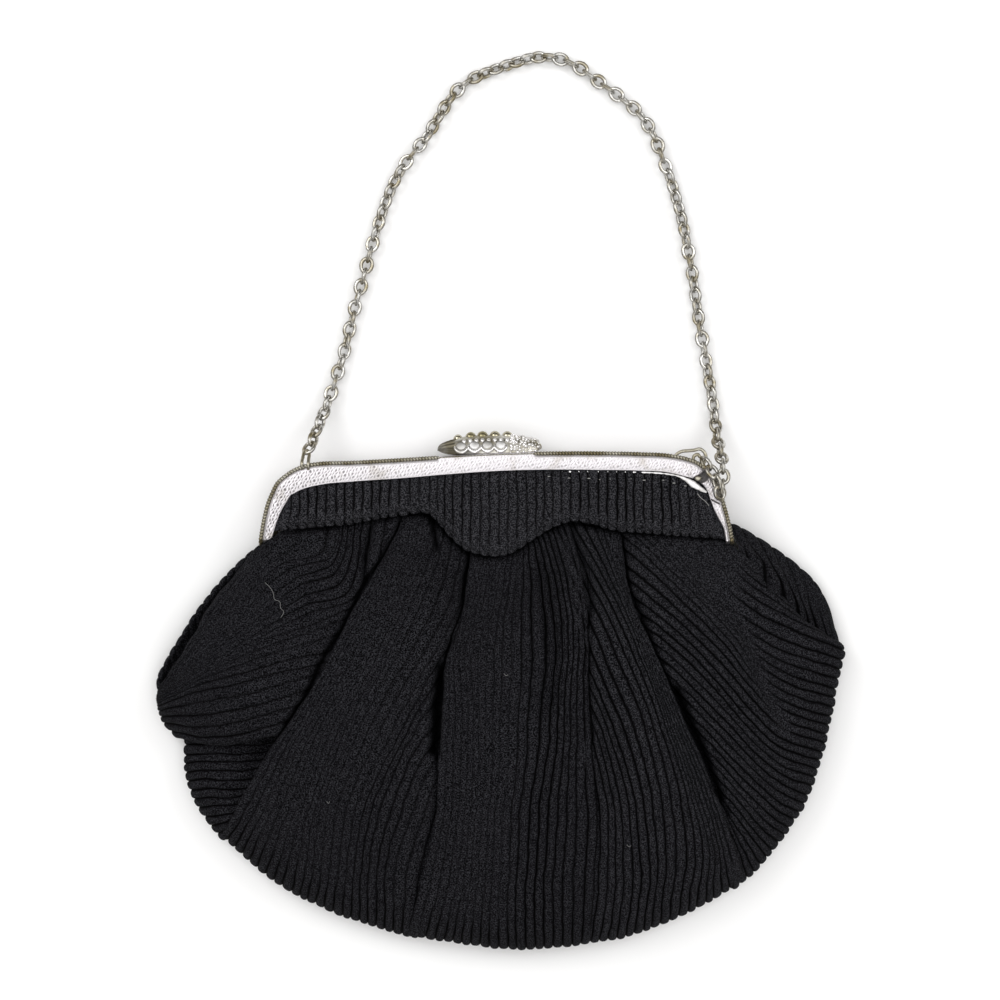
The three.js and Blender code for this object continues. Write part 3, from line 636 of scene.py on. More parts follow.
# each sheet: rows of rib number, six points down that rib in photo pixels, and how open its groove is near
# the start and near the end; over = fold lines where this sheet's edge rolls down on its neighbour (drop and
# width in mm), under = fold lines where it dips beneath one, swell and brim = x, y, radius x, radius y and
# height of a mound, tuck = rib and how many pixels it starts further back, under the hem or fold above it,
# and flat = a crease that presses the ribs flat over a width in mm
gathers = {
    "gather_left_puff": {
        "guides": (
            (0, 255.5, 547.5, 246, 562, 234, 577.5, 211, 606, 188, 643, 166, 680, 0.2, 0.5),
            (1, 262.5, 542.5, 257, 558, 242, 577, 214.5, 611.5, 187, 649, 162, 684, 0.2, 0.45),
            (2, 273, 536, 271, 552, 251, 574, 218, 617, 186, 655, 159, 687, 0.2, 0.4),
            (3, 298, 531, 292, 549, 264, 571, 224, 619, 188.5, 656.5, 159, 688, 0.35, 0.4),
            (4, 328, 528, 325, 551, 278, 568, 230, 621, 191, 658, 159, 689, 0.6, 0.4),
            (6, 343, 527, 335, 560, 293, 580, 241, 626, 196, 661, 158, 691, 0.8, 0.4),
            (8, 356, 526, 345, 578, 302, 597, 250, 631, 202, 663, 158, 694, 0.8, 0.5),
            (10, 371, 524, 358, 592, 310, 613, 256, 640, 206, 667, 157, 697, 0.7, 0.5),
            (11, 386, 522, 368, 590, 320, 622, 256, 645, 206, 670, 157, 698, 0.7, 0.55),
            (12, 400, 520, 376, 596, 322, 629, 254, 651, 205, 673, 157, 700, 0.6, 0.6),
            (14, 372, 630, 330, 651, 284, 662, 241, 674, 200, 685, 158, 704, 0.6, 0.7),
            (16, 342, 664, 308, 676, 272, 686, 236, 695, 197, 703, 160, 711, 0.6, 0.7),
            (18, 322, 698, 292, 706, 262, 714, 231, 722, 198, 727, 165, 722, 0.6, 0.75),
            (20, 312, 728, 286, 733, 260, 738, 234, 744, 208, 744, 180, 738, 0.6, 0.8),
        ),
        "lift": 0.0,
        "over": (("shoulderLeft", 10.0, 15.0), ("puffUnder", 7.0, 10.0)),
        "under": (("puff", 7.0, 1.25), ("tongue", 4.0, 1.2)),
        "swell": ((235, 690, 70, 48, 5.0),),
        "brim": ((267, 540, 12.5, 10, 5.6), (285, 556, 34, 26, 3.6)),
        "tuck": ((0, 0), (2, 0), (3, 16), (4, 24), (12, 24), (13.5, 6), (20, 6)),
    },
    "gather_left_recess": {
        "guides": (
            (0, 300, 722, 280, 732, 255, 735, 230, 735, 208, 734, 186, 735, 0.9, 0.9),
            (3.2, 288, 750, 268, 760, 248, 764, 227, 765, 207, 764, 187, 765, 0.9, 0.9),
            (6.3, 268, 782, 256, 788, 242, 792, 227, 793, 211, 792, 194, 793, 0.9, 0.9),
            (10.2, 248, 810, 242, 816, 235, 820, 228, 823, 221, 825, 213, 826, 0.9, 0.9),
            (12, 242, 822, 238, 827, 235, 831, 232, 835, 229, 838, 226, 841, 0.8, 0.8),
        ),
        "lift": -4.0,
        "over": (),
        "under": (("puffUnder", 5.0, 8.0), ("puff", 5.0, 6.0)),
        "swell": (),
        "tuck": ((0, 6), (12, 6)),
    },
    "gather_left": {
        "guides": (
            (0, 401, 524, 378, 568, 346, 624, 305, 698, 265, 758, 222, 833, 0.4, 0.6),
            (3.4, 411, 514, 392, 565, 358, 630, 318, 705, 280, 780, 246, 857, 0.35, 0.5),
            (6.6, 421, 512, 404, 565, 372, 632, 332, 712, 298, 795, 270, 877, 0.35, 0.5),
            (9.5, 433, 515, 418, 562, 388, 635, 348, 718, 314, 805, 294, 892, 0.4, 0.5),
            (12.4, 446, 530, 440, 570, 408, 640, 366, 722, 332, 812, 319, 904, 0.6, 0.5),
            (13.3, 456, 541, 447, 585, 417, 648, 374, 726, 340, 816, 327, 908, 0.6, 0.55),
            (15.2, 474, 556, 456, 612, 424, 676, 386, 745, 354, 825, 344, 914, 0.6, 0.6),
            (18, 472, 640, 446, 688, 418, 726, 393, 778, 372, 842, 368, 921, 0.6, 0.7),
            (21, 464, 724, 444, 752, 424, 782, 408, 822, 396, 867, 394, 930, 0.6, 0.7),
            (24, 460, 768, 450, 790, 442, 816, 435, 850, 428, 890, 420, 937, 0.5, 0.6),
        ),
        "lift": 1.5,
        "over": (("puff", 4.0, 1.9),),
        "under": (
            ("centreLeft", 7.0, 1.3), ("gapLeft", 14.0, 1.6), ("seamLeft", 2.4, 1.8),
            ("tuckLeft", 5.0, 1.2),
        ),
        "swell": ((330, 760, 70, 80, 1.5),),
        "tuck": ((0, 24), (13.3, 24), (15.2, 6), (24, 6)),
    },
    "gather_centre": {
        "guides": (
            (0, 472, 552, 463, 600, 446, 660, 441, 745, 432, 830, 408, 933, 0.4, 0.5),
            (3, 486, 556, 472, 600, 459, 655, 463, 735, 455, 835, 436, 939, 0.4, 0.5),
            (7, 505, 554, 494, 600, 485, 665, 486, 750, 480, 840, 471, 944, 0.5, 0.5),
            (11, 524, 546, 522, 595, 521, 660, 517, 745, 510, 835, 508, 946.5, 0.7, 0.6),
            (14, 537, 537, 550, 590, 556, 650, 550, 730, 538, 815, 535, 946.5, 1.0, 0.9),
            (17, 552, 530, 568, 590, 573, 655, 570, 750, 564, 845, 563, 945.5, 1.0, 0.8),
            (20, 568, 525, 580, 570, 588, 640, 592, 730, 597, 830, 590, 943, 1.0, 0.9),
        ),
        "lift": 3.0,
        "over": (("centreLeft", 4.0, 1.9), ("centreDart", 2.4, 1.9)),
        "under": (("valley", 4.5, 3.0),),
        "swell": (),
        "tuck": ((0, 24), (20, 24)),
    },
    "gather_centre_right": {
        "guides": (
            (0, 578, 735, 586, 775, 591, 815, 592, 855, 588, 897, 581, 944, 0.8, 0.8),
            (1.2, 586, 728, 595, 768, 601, 810, 602, 852, 599, 895, 592, 942, 0.9, 0.8),
            (4, 583, 680, 603, 733, 617, 785, 624, 835, 624, 885, 617, 938, 1.0, 0.8),
            (6.7, 574, 612, 604, 690, 629, 755, 643, 820, 648, 875, 641, 931, 1.0, 0.9),
            (9.3, 562, 536, 611, 638, 643, 715, 661, 790, 669, 850, 664, 923, 1.0, 0.9),
            (11.5, 564, 516, 615, 608, 651, 690, 677, 775, 690, 845, 684, 915, 1.0, 0.9),
            (14.4, 598, 527, 624, 595, 652, 670, 684, 760, 709, 840, 709, 902, 0.9, 0.9),
            (19, 622, 537, 630, 594, 654, 648, 685, 722, 716, 793, 746, 878, 0.6, 0.9),
        ),
        "lift": 3.0,
        "over": (("centreRight", 4.0, 1.9),),
        "under": (("centreDart", 5.0, 1.8), ("seamCentre", 2.2, 1.8)),
        "swell": (),
        "tuck": ((0, 6), (9.3, 6), (11.5, 24), (19, 24)),
    },
    "gather_right": {
        "guides": (
            (0, 706, 790, 714, 812, 721, 832, 727, 850, 731, 868, 733, 890, 0.9, 0.9),
            (3.3, 706, 774, 718, 798, 729, 819, 739, 836, 748, 852, 757, 869, 0.9, 0.9),
            (6.3, 688, 742, 712, 774, 733, 800, 749, 820, 763, 836, 775, 847, 1.0, 0.9),
            (10, 668, 692, 702, 734, 733, 768, 757, 792, 776, 809, 794, 819, 1.0, 0.9),
            (13.8, 646, 645, 688, 684, 725, 723, 755, 755, 782, 777, 809, 787, 1.0, 0.95),
            (17.2, 628, 600, 676, 638, 719, 682, 750, 720, 780, 746, 819, 758, 1.0, 1.0),
            (19.5, 620, 566, 678, 615, 721, 658, 750, 692, 780, 722, 825, 738, 0.9, 1.0),
            (21.8, 620, 534, 676, 588, 725, 638, 756, 680, 785, 704, 829, 717, 0.8, 1.0),
            (24.8, 648, 534, 699, 585, 733, 621, 757, 655, 788, 676, 835, 690, 0.5, 1.0),
            (27.7, 676, 536, 703, 574, 727, 604, 753, 627, 787, 644, 841, 664, 0.4, 1.0),
            (29.4, 694, 538, 711, 565, 732, 588, 757, 607, 790, 623, 843, 648, 0.35, 0.9),
            (31, 711, 539, 723, 557, 738, 573, 757, 588, 778, 603, 808, 624, 0.3, 0.8),
            (33, 724, 541, 732, 551, 742, 561, 752, 570, 764, 580, 780, 594, 0.3, 0.7),
            (34, 733, 543, 736, 547, 740, 551, 744, 555, 749, 560, 755, 566, 0.3, 0.5),
        ),
        "lift": 0.0,
        "over": (("crest", 1.6, 7.0),),
        "under": (
            ("centreRight", 7.0, 1.4), ("gapRight", 14.0, 1.6), ("seamRight", 2.4, 1.8),
            ("brimRight", -2.2, 3.5),
        ),
        "swell": ((770, 690, 60, 70, 2.0),),
        "flat": ("crest", 2.4),
        "tuck": ((0, 6), (20, 6), (22.5, 24), (31, 24), (33, 8), (34, 6)),
        "brim": ((752, 560, 32, 26, 8.0), (797, 606, 28, 26, 4.5)),
    },
}


# a rib table to a grid: columns are places across the ribs, rows run down each rib through its six points,
# closest together at both ends
def ribGrid(guides, seed, tuck, rows):
    table = np.array(guides, float)
    ribs = int(table[-1, 0])
    dice = np.random.default_rng(seed)
    bounds = np.arange(ribs + 1) + np.pad(dice.uniform(-1, 1, ribs - 1), 1) * cloth["widthJitter"]
    share = np.array(cloth["ribColumns"])
    across = np.append((bounds[:-1, None] + share[None] * np.diff(bounds)[:, None]).ravel(), bounds[-1])
    phase = np.append(np.tile(share, ribs), 1.0)
    lines = alongTable(table[:, 0], table[:, 1:], across)
    count = cloth["knots"]
    knots = lines[:, : 2 * count].reshape(-1, count, 2)
    further = np.interp(across, *np.array(tuck, float).T)
    knots[:, 0] += further[:, None] * unit(knots[:, 0] - knots[:, 1])
    down = (1 - np.cos(np.linspace(0, np.pi, rows))) / 2
    plan = alongTable(np.linspace(0, 1, count), knots.transpose(1, 0, 2).reshape(count, -1), down)
    uneven = np.append(np.repeat(dice.uniform(*cloth["grooveUneven"], ribs), len(share)), 1.0)
    later = ease(*cloth["grooveTurn"], down)[:, None]
    start, end = lines[:, 2 * count :].T
    openness = (start * (1 - later) + end * later) * uneven
    return plan.reshape(rows, -1, 2), across, phase, openness


# ribs: the sheet moved out along its own normal by 1 - |2p - 1|^n across each rib, less where ribs crowd;
# the groove mark is what lies between the crowns, and the cloth's finish paints shade by it
def raiseRibs(base, across, phase, openness, faces=1.0):
    normal = unit(np.cross(np.gradient(base, axis=1), np.gradient(base, axis=0)))
    if normal[len(base) // 3, :, 2].mean() * faces < 0:
        normal = -normal
    crown = 1 - np.abs(2 * phase - 1) ** cloth["ribFlatness"]
    width = np.linalg.norm(np.gradient(base, across, axis=1), axis=-1)
    deep = np.minimum(cloth["ribDepth"], cloth["ribShare"] * width) * openness
    return base + normal * (deep * crown)[..., None], (1 - crown) * openness


# front: from the hem the cloth swells to the belly, and falls to the edge as a rounded slope;
# folds then roll edges down or press the lower layer in, and brims lift the cloth where it lies over metal
def frontHeight(px, py, toEdge, sheet):
    below = (py - alongTable(hemLine[:, 0], hemLine[:, 1], px)[..., 0]) * shot["perPixel"]
    rise = cloth["bellyHeight"] - cloth["hemHeight"]
    top = cloth["hemHeight"] + rise * ease(0, cloth["bellyRise"], below)
    top = top + sheet["lift"] * ease(0, cloth["liftRise"], below) + mounds(px, py, sheet["swell"])
    near = np.clip(1 - toEdge / cloth["edgeReach"], 0, 1)
    fall = np.sqrt(np.clip(1 - near ** cloth["edgePower"], 0, 1))
    deep = np.interp(px, *np.array(cloth["hemGroove"]).T) * nearLine(px, py, hemLine, cloth["hemWidth"])
    for name, drop, width in sheet["over"]:
        q = np.clip(1 - fromLine(px, py, folds[name]) * shot["perPixel"] / width, 0, 1)
        deep = deep + drop * (1 - np.sqrt(1 - q * q))
    for name, depth, width in sheet["under"]:
        deep = deep + depth * nearLine(px, py, folds[name], width)
    edge = cloth["edgeHeight"]
    return edge + (top - edge - deep) * fall + mounds(px, py, sheet.get("brim", ()))


# the edge turned under: a quarter ellipse from the sheet's last row, down to a height and back in
def rollUnder(base, run, low, rows):
    out = unit(base[-1, :, :2] - base[-1 - cloth["outRows"], :, :2])
    angle = np.linspace(0, np.pi / 2, rows + 1)[1:, None, None]
    flat = base[-1:, :, :2] - out[None] * run * (1 - np.cos(angle))
    z = base[-1:, :, 2:] - (base[-1:, :, 2:] - low) * np.sin(angle)
    return np.concatenate([base, np.concatenate([flat, z], axis=-1)], axis=0)


# face areas of a ribbed sheet are read into an array; nothing is done with them
def declareCloth(piece):
    faces = np.zeros(len(piece.data.polygons))
    piece.data.polygons.foreach_get("area", faces)


frontSpots = []


# front gathers: the rib grid in plan, wavering a little, raised to its height and turned under at the edge
def makeGathers():
    for seed, (name, sheet) in enumerate(gathers.items(), cloth["frontSeed"]):
        plan, across, phase, openness = ribGrid(sheet["guides"], seed, sheet["tuck"], cloth["frontRows"])
        px, py = plan[..., 0], plan[..., 1]
        x, y = planPoint(px, py)
        for far, length, offsetX, offsetY in cloth["wavers"]:
            x = x + far * ripple(x, y, length, offsetX)
            y = y + far * ripple(x, y, length, offsetY)
        toEdge = runToEnd(x, y)
        high, length, offset = cloth["dimples"]
        dimples = high * ripple(x, y, length, offset) * ease(0, cloth["dimpleEdge"], toEdge)
        base = lifted(x, y, frontHeight(px, py, toEdge, sheet) + dimples)
        base = rollUnder(base, cloth["frontRoll"], cloth["floorGap"] + cloth["ribDepth"], cloth["rollRows"])
        openness = openness + (cloth["edgeGroove"] - openness) * ease(*cloth["edgeGrooveRun"], toEdge)
        if "flat" in sheet:
            line, wide = sheet["flat"]
            openness = openness * (1 - cloth["pressed"] * nearLine(px, py, folds[line], wide))
        openness = holdLast(openness, cloth["rollRows"])
        points, groove = raiseRibs(base, across, phase, openness)
        # the right-hand gathers take the lighter copy of the crepe as painted light
        finish = finishes["rightLitCrepe" if "right" in name else "blackCrepe"]
        piece = gridPiece(name, points, finish, flip=True, marks={"groove": groove})
        frontSpots.append(points.reshape(-1, 3))
        settle(piece, "bag", "pleated_pouch" if name == "gather_centre" else None)
        declareCloth(piece)


makeGathers()

# back of the pouch: flat on the table, ribs facing down, and the two shoulders that show beside the front
backSheets = {
    "back_panel": {
        "guides": (
            (0, 276, 538, 254, 562, 228, 594, 204, 630, 187, 660, 176, 690, 0.7, 0.8),
            (12, 296, 536, 266, 590, 242, 650, 222, 706, 211, 752, 206, 792, 0.7, 0.8),
            (24, 340, 535, 312, 600, 290, 670, 272, 740, 260, 806, 254, 860, 0.7, 0.8),
            (36, 400, 534, 386, 610, 376, 690, 368, 770, 362, 850, 360, 914, 0.7, 0.8),
            (48, 470, 534, 466, 615, 464, 700, 464, 780, 464, 865, 464, 938, 0.7, 0.8),
            (58, 530, 534, 532, 615, 534, 700, 536, 780, 540, 865, 545, 941, 0.7, 0.8),
            (70, 600, 534, 610, 610, 620, 690, 630, 770, 642, 850, 652, 924, 0.7, 0.8),
            (82, 660, 535, 684, 600, 704, 670, 722, 740, 740, 806, 752, 868, 0.7, 0.8),
            (94, 704, 536, 738, 590, 762, 640, 780, 694, 794, 744, 803, 784, 0.7, 0.8),
            (104, 724, 538, 754, 564, 780, 592, 800, 618, 815, 642, 826, 664, 0.7, 0.8),
        ),
        "heights": ((0, 3.2, 1.5, 1.5), (104, 3.2, 1.5, 1.5)),
        "faces": -1.0,
        "rolls": False,
        "tuck": ((0, 6),),
        "rows": 56,
    },
    "back_shoulder_right": {
        "guides": (
            (0, 741, 566, 739, 548, 736, 542, 734, 536, 732, 529, 730, 522, 0.5, 0.5),
            (1, 748, 572, 746, 554, 741, 547, 737, 540, 734, 532, 731.5, 524, 1.0, 0.5),
            (2, 765, 586, 764, 566, 757, 555, 750, 544.5, 745.5, 537, 741, 528, 1.2, 0.5),
            (3.3, 788, 613, 786, 593, 779, 576, 770, 557.5, 764.5, 547, 760, 539.5, 1.3, 0.5),
            (4.5, 804, 634, 803, 614, 797, 597, 790.5, 579, 785, 567, 779, 552, 1.3, 0.5),
            (5.7, 813, 645, 812, 625, 807, 607, 803.5, 590, 800, 577, 795, 564, 1.3, 0.5),
            (6.8, 825, 651, 824, 633, 819, 615, 816.5, 601, 814, 590, 811, 578, 1.1, 0.4),
            (8, 833, 656, 833, 641, 829, 625, 826, 611, 824, 602, 822, 593, 0.7, 0.3),
            (9, 839, 656, 839.5, 645, 837.5, 635, 835, 628, 833, 620, 831, 612, 0.2, 0.2),
        ),
        "heights": (  # rib, height at its start, middle and end
            (0, 20.0, 16.5, 8.0),
            (2, 17.0, 15.0, 7.0),
            (3.3, 12.0, 13.3, 7.0),
            (4.5, 10.0, 11.5, 7.0),
            (5.7, 8.5, 10.3, 6.5),
            (6.8, 7.5, 9.0, 6.0),
            (8, 6.5, 7.5, 5.0),
            (9, 4.0, 4.0, 3.0),
        ),
        "faces": 1.0,
        "rolls": True,
        "tuck": ((0, 3),),
        "rows": 72,
    },
    "back_shoulder_left": {
        "edge": (  # its rolled edge, as pixels
            (274, 536), (257.5, 547.5), (242.5, 560), (226, 576), (205, 601), (194, 616), (175, 646),
            (164, 665), (157, 682.5), (158, 692), (163, 709),
        ),
        "ribs": 16,
        "inset": (18, 13, 9, 5.5, 2.5, 0),
        "slide": (20, 16, 12, 8, 4, 0),
        "feel": 2.0,  # the edge's direction is taken this far to both sides
        "groove": 0.55,
        "heights": (  # from the start, which rises under the front, through the valley and the roll's top
            (0, 12.0, 5.0, 6.5, 8.5, 6.0),
            (9, 14.5, 5.0, 6.5, 8.5, 6.0),
            (12, 14.0, 5.5, 6.5, 8.5, 6.0),
            (14, 11.0, 5.5, 6.5, 8.5, 6.0),
            (16, 8.0, 5.5, 6.5, 8.5, 6.0),
        ),
        "faces": 1.0,
        "rolls": True,
        "tuck": ((0, 3),),
        "rows": 48,
    },
}


# a rib table for a rolled edge: each rib comes out from inside the edge and slides back along it on the way
def edgeRibs(sheet):
    rows = np.array(sheet["edge"], float)
    run = runAlong(rows)
    first = np.linspace(0, run[-1] - max(sheet["slide"]), sheet["ribs"] + 1)
    at = first[:, None] + np.array(sheet["slide"], float)[None]
    along = alongTable(run, rows, at + sheet["feel"]) - alongTable(run, rows, at - sheet["feel"])
    inward = unit(np.stack([along[..., 1], -along[..., 0]], axis=-1))
    place = alongTable(run, rows, at) + np.array(sheet["inset"], float)[None, :, None] * inward
    groove = np.full((len(place), 2), sheet["groove"])
    return np.column_stack([np.arange(len(place)), place.reshape(len(place), -1), groove])


# height runs down each rib by a smooth curve through its evenly spaced values
def makeBack():
    for seed, (name, sheet) in enumerate(backSheets.items(), cloth["backSeed"]):
        guides = sheet["guides"] if "guides" in sheet else edgeRibs(sheet)
        plan, across, phase, openness = ribGrid(guides, seed, sheet["tuck"], sheet["rows"])
        x, y = planPoint(plan[..., 0], plan[..., 1])
        heights = np.array(sheet["heights"], float)
        heights = alongTable(heights[:, 0], heights[:, 1:], across)
        z = alongTable(np.linspace(0, 1, heights.shape[1]), heights.T, np.linspace(0, 1, len(plan)))
        base = lifted(x, y, z)
        if sheet["rolls"]:
            low = cloth["floorGap"] + cloth["ribDepth"]
            base = rollUnder(base, cloth["backRoll"], low, cloth["rollRows"])
            openness = holdLast(openness, cloth["rollRows"])
        points, groove = raiseRibs(base, across, phase, openness, sheet["faces"])
        points[..., 2] = np.maximum(points[..., 2], cloth["backLeast"])
        facesUp = sheet["faces"] > 0
        piece = gridPiece(name, points, finishes["blackCrepe"], flip=facesUp, marks={"groove": groove})
        settle(piece, "bag")
        declareCloth(piece)


makeBack()

mirrorHeight = 20.8  # the back half is the front half turned over: its heights are this less the front's

# yokes: the flat ribbed bands sewn to the frame
yoke = {
    "guides": (  # rib, top x and y, hem x and y, groove
        (0, 277, 500, 270.5, 531, 0.4),
        (3, 300, 479, 298, 528, 0.8),
        (8, 345, 472, 345, 524, 0.9),
        (14, 399, 468, 399, 515.5, 0.9),
        (17, 429, 466, 430, 514, 0.7),
        (19, 445, 465, 444, 529, 0.8),
        (21, 463, 464, 462, 547, 0.8),
        (23, 481, 463, 480, 554, 0.8),
        (26, 508, 462, 508, 554, 0.8),
        (29, 535, 462, 536, 537, 0.7),
        (31, 552, 462, 553, 527, 0.7),
        (33, 570, 463, 571, 521, 0.8),
        (38, 616, 464, 617, 530, 1.0),
        (42, 652, 465, 653, 533, 1.0),
        (45, 678, 468, 681, 535.5, 0.8),
        (48, 701, 479, 710, 537.5, 0.5),
        (50, 716, 490, 727.5, 539.5, 0.3),
    ),
    "seed": 71,
    "tuck": ((0, 2),),
    "rows": (90, 44),  # of the front and of the back
    "wriggle": (0.26, 12.0, 0.6),  # unsteady run of the ribs: how far, wave length, offset
    "dimples": (0.25, 37.0),  # slow rise and fall: height, wave length
    "topHeight": 15.9,
    "hemHeight": 17.9,
    "rise": 0.8,  # the hem's height is reached this share of the way down
    "hemSwell": (3.6, 0.8),  # the hem's padded roll: how far up it reaches, how high it stands
    "hemSlant": 0.75,  # slanting bumps round the roll, one a rib
    "hemTwist": 5.5,  # the bumps slip by one rib over this
    "hemNotch": (  # between the bumps the hem is nipped: rib and how deep
        (0, 0.9), (14, 0.9), (17, 0.35), (30, 0.3), (36, 0.6), (50, 0.7),
    ),
    "nipWidth": 0.13,  # of a rib
    "nipReach": 2.0,  # how far up from the hem
    "hemEnds": (0.2, 2.0, 1.2),  # at both ends the roll comes in between these ribs, from this much lower
    "hemFlat": 0.5,  # how far the ribs fade into the roll
    "hemFlatRun": (5.5, 2.5),  # between these distances from the hem
    "hemRoll": (1.2, 3.2),  # how far the hem turns under, and down
    "rollRows": 8,
}


# straight ribs from the frame to the hem, where they fade into a padded roll, nipped once a rib, that turns
# under; the bumps of the roll are a cosine across the ribs, slipping sideways down it
def makeYoke(name, node, back):
    table = np.array(yoke["guides"], float)
    share = np.linspace(0, 1, cloth["knots"])[None, :, None]
    lines = table[:, None, 1:3] * (1 - share) + table[:, None, 3:5] * share
    guides = np.concatenate([table[:, :1], lines.reshape(len(table), -1), table[:, 5:], table[:, 5:]], axis=1)
    plan, across, phase, openness = ribGrid(guides, yoke["seed"], yoke["tuck"], yoke["rows"][back])
    x, y = planPoint(plan[..., 0], plan[..., 1])
    far, length, offset = yoke["wriggle"]
    x = x + far * ripple(x, y, length, offset)
    toHem = runToEnd(x, y)
    down = np.linspace(0, 1, len(plan))[:, None]
    z = yoke["topHeight"] + (yoke["hemHeight"] - yoke["topHeight"]) * ease(0, yoke["rise"], down)
    reach, swell = yoke["hemSwell"]
    padded = ease(reach, 0, toHem)
    bump = across[None] + 0.5 + toHem / yoke["hemTwist"]
    slant = yoke["hemSlant"] * np.cos(turn * bump)
    near, far, sink = yoke["hemEnds"]
    inside = ease(near, far, across) * ease(across[-1] - near, across[-1] - far, across)
    nip = np.exp(-(((bump - np.floor(bump) - 0.5) / yoke["nipWidth"]) ** 2)) * padded * inside
    nip = nip * np.interp(across, *np.array(yoke["hemNotch"]).T)
    y = y + nip * ease(yoke["nipReach"], 0, toHem)
    high, length = yoke["dimples"]
    z = z + high * ripple(x, y, length) + ((swell + slant) * inside - sink * (1 - inside)) * padded
    base = lifted(x, y, z)
    run, drop = yoke["hemRoll"]
    base = rollUnder(base, run, base[-1:, :, 2:] - drop, yoke["rollRows"])
    openness = openness * (1 - yoke["hemFlat"] * ease(*yoke["hemFlatRun"], toHem))
    points, groove = raiseRibs(base, across, phase, holdLast(openness, yoke["rollRows"]))
    # the nips join the groove mark, so the cloth's finish paints shade into them as well
    groove = np.maximum(groove, holdLast(nip, yoke["rollRows"]))
    if back:
        points[..., 2] = mirrorHeight - points[..., 2]
    band = gridPiece(name, points, finishes["yokeCrepe"], flip=not back, marks={"groove": groove})
    settle(band, "bag", node)
    declareCloth(band)


makeYoke("front_yoke_cloth", "front_yoke", False)
makeYoke("back_yoke_cloth", "back_yoke", True)

# metal frame
rail = {
    "edge": (  # outer edge of the front half from the left foot to the right: pixel x, y and the face's width
        (257.4, 551, 11), (258.8, 541, 12), (260.6, 529, 13), (263.2, 515.5, 14.6), (266.3, 503.5, 16.4),
        (270.6, 493, 17.8), (276.2, 482.2, 19.2), (284, 475, 20.6), (293.6, 468.8, 21.8), (305, 464.5, 22.4),
        (320, 462.2, 21.8), (350, 461.2, 20), (400, 458.5, 19.3), (450, 455.4, 18.2), (500, 453, 17.4),
        (550, 451.8, 17.4), (600, 451.7, 17.8), (640, 452.5, 17.7), (668, 454, 17.7), (685, 457, 18.2),
        (698, 461.6, 17.4), (708, 469.2, 15.2), (714.8, 477.6, 13), (719.4, 486, 12.5), (722.8, 495, 12.8),
        (725.6, 505, 12), (728.6, 516, 10), (731, 526, 7.5), (733.2, 538, 7.5), (734.8, 548, 7),
    ),
    "faceHeight": 18.4,
    "footDip": ((4.6, 7.6), (3.0, 4.0)),  # left and right leg ends sink in: over this length, by this much
    "footSunk": 0.5,  # at this length from the end they are down in full
    "parting": 10.55,
    "steps": (1100, 420),  # along the front half and the back half
    "fineSteps": 3000,
    "shoulder": (  # up the wall and over its rounded shoulder: inward, height
        (0, 13.5), (0, 16.2), (0.12, 17.1), (0.45, 17.75), (1.0, 18.1), (1.6, 18.22),
    ),
    "lip": ((0.12, -0.45), (0.05, -0.95), (-0.6, -1.15)),  # past the face's width, above its height
    "inner": ((1.8, 17.2), (1.1, 16.6), (1.0, 13.5)),  # back and down inside: inward, height
    "faceStart": 1.7,  # the stippled face starts this far in
    "claspReach": 0.95,  # and this much nearer the edge under the clasp
    "faceSink": 0.15,
    "crown": (0.3, 0.7),  # the face's crown is a sine: its height and its power
    "faceColumns": 34,
    "strokePitch": (0.98, 1.55),  # stippled strokes: spacing across them and along them
    "strokeWander": (0.3, 2.7),  # in strokes, and its wave length
    "strokeDepth": 0.16,
    "strokeLean": 28.0,  # degrees off upright
    "strokeFade": 9.0,  # they come in over one part in so many at both sides of the face
    "strokeEdge": (-0.25, 0.6),  # where the wave turns to stroke
    "strokeTone": (0.675, 0.275),  # dirt in the strokes: at the left corner, and further right
    "cleanFrom": (-75.0, -5.0),  # x over which one gives way to the other
    "seam": (0.9, 1.4, 1.6, 2.2),  # dirt between the face and the rim: inward from, full from, full to, to
    "seamTone": 0.5,
    "rimPitch": 1.12,  # the milled rim's twist
    "rimSteps": 6,  # in one turn of it
    "rimSides": 10,
    "rimRadius": 0.86,
    "rimInset": 0.7,  # of its radius, inside the edge
    "rimBelow": 0.28,  # the face's height
    "rimGroove": 0.3,  # of its radius
    "rimDirt": 0.75,
    "rimFoot": (-0.3, 1.2),  # it comes in over this from the leg's end
    "rimThin": 0.75,  # thinner by this share under the clasp
    "rimTorn": (1.2, 2.0, 0.15),  # near the break: distances, and the share of it left
    "claspSpan": (440, 534),  # pixel x of the stretch under the clasp
    "claspSoft": 1.0,
    "claspShade": ((444, 455, 18.4), (458, 454.4, 18.4), (474, 453.4, 18.4)),
    "shadeCut": (1.3, 0.5, 0.85),  # as far as, full within, painted shade
    "shadeHeight": (17.6, 18.0),
    "crack": ((711, 499.5, 18.4), (721, 504.5, 18.4)),
    "crackCut": (0.34, 0.1, 0.4, 0.9),  # as far as, full within, depth, darkening
    "broken": ((695, 482, 18.4), (704, 477, 18.4), (714, 465, 18.4)),
    "brokenCut": (1.9, 1.1, 1.4, 0.85),  # as far as, full within, depth, darkening: damage and painted shadow of the chain
    "brokenAbove": 1.0,  # only metal this far over the parting sinks
}


# outer edge in fine steps: the run from the left foot, and rows of place, the way out, and the face's width
def railTable():
    rows = np.array(rail["edge"], float)
    run = runAlong(rows[:, :2])
    fine = alongTable(run, rows, np.linspace(0, run[-1], rail["fineSteps"]))
    flat = spot(np.column_stack([fine[:, :2], np.full(len(fine), rail["faceHeight"])]))[:, :2]
    length = runAlong(flat)
    along = np.gradient(flat, length, axis=0)
    return length, np.column_stack([flat, -along[:, 1], along[:, 0], fine[:, 2] * shot["perPixel"]])


railRun, railRows = railTable()


# outer edge at shares of its length, the way out from it, and the face's width there
def railPath(share):
    here = readOff(share * railRun[-1], railRun, railRows)
    return here[:, :2], here[:, 2:4], here[:, 4]


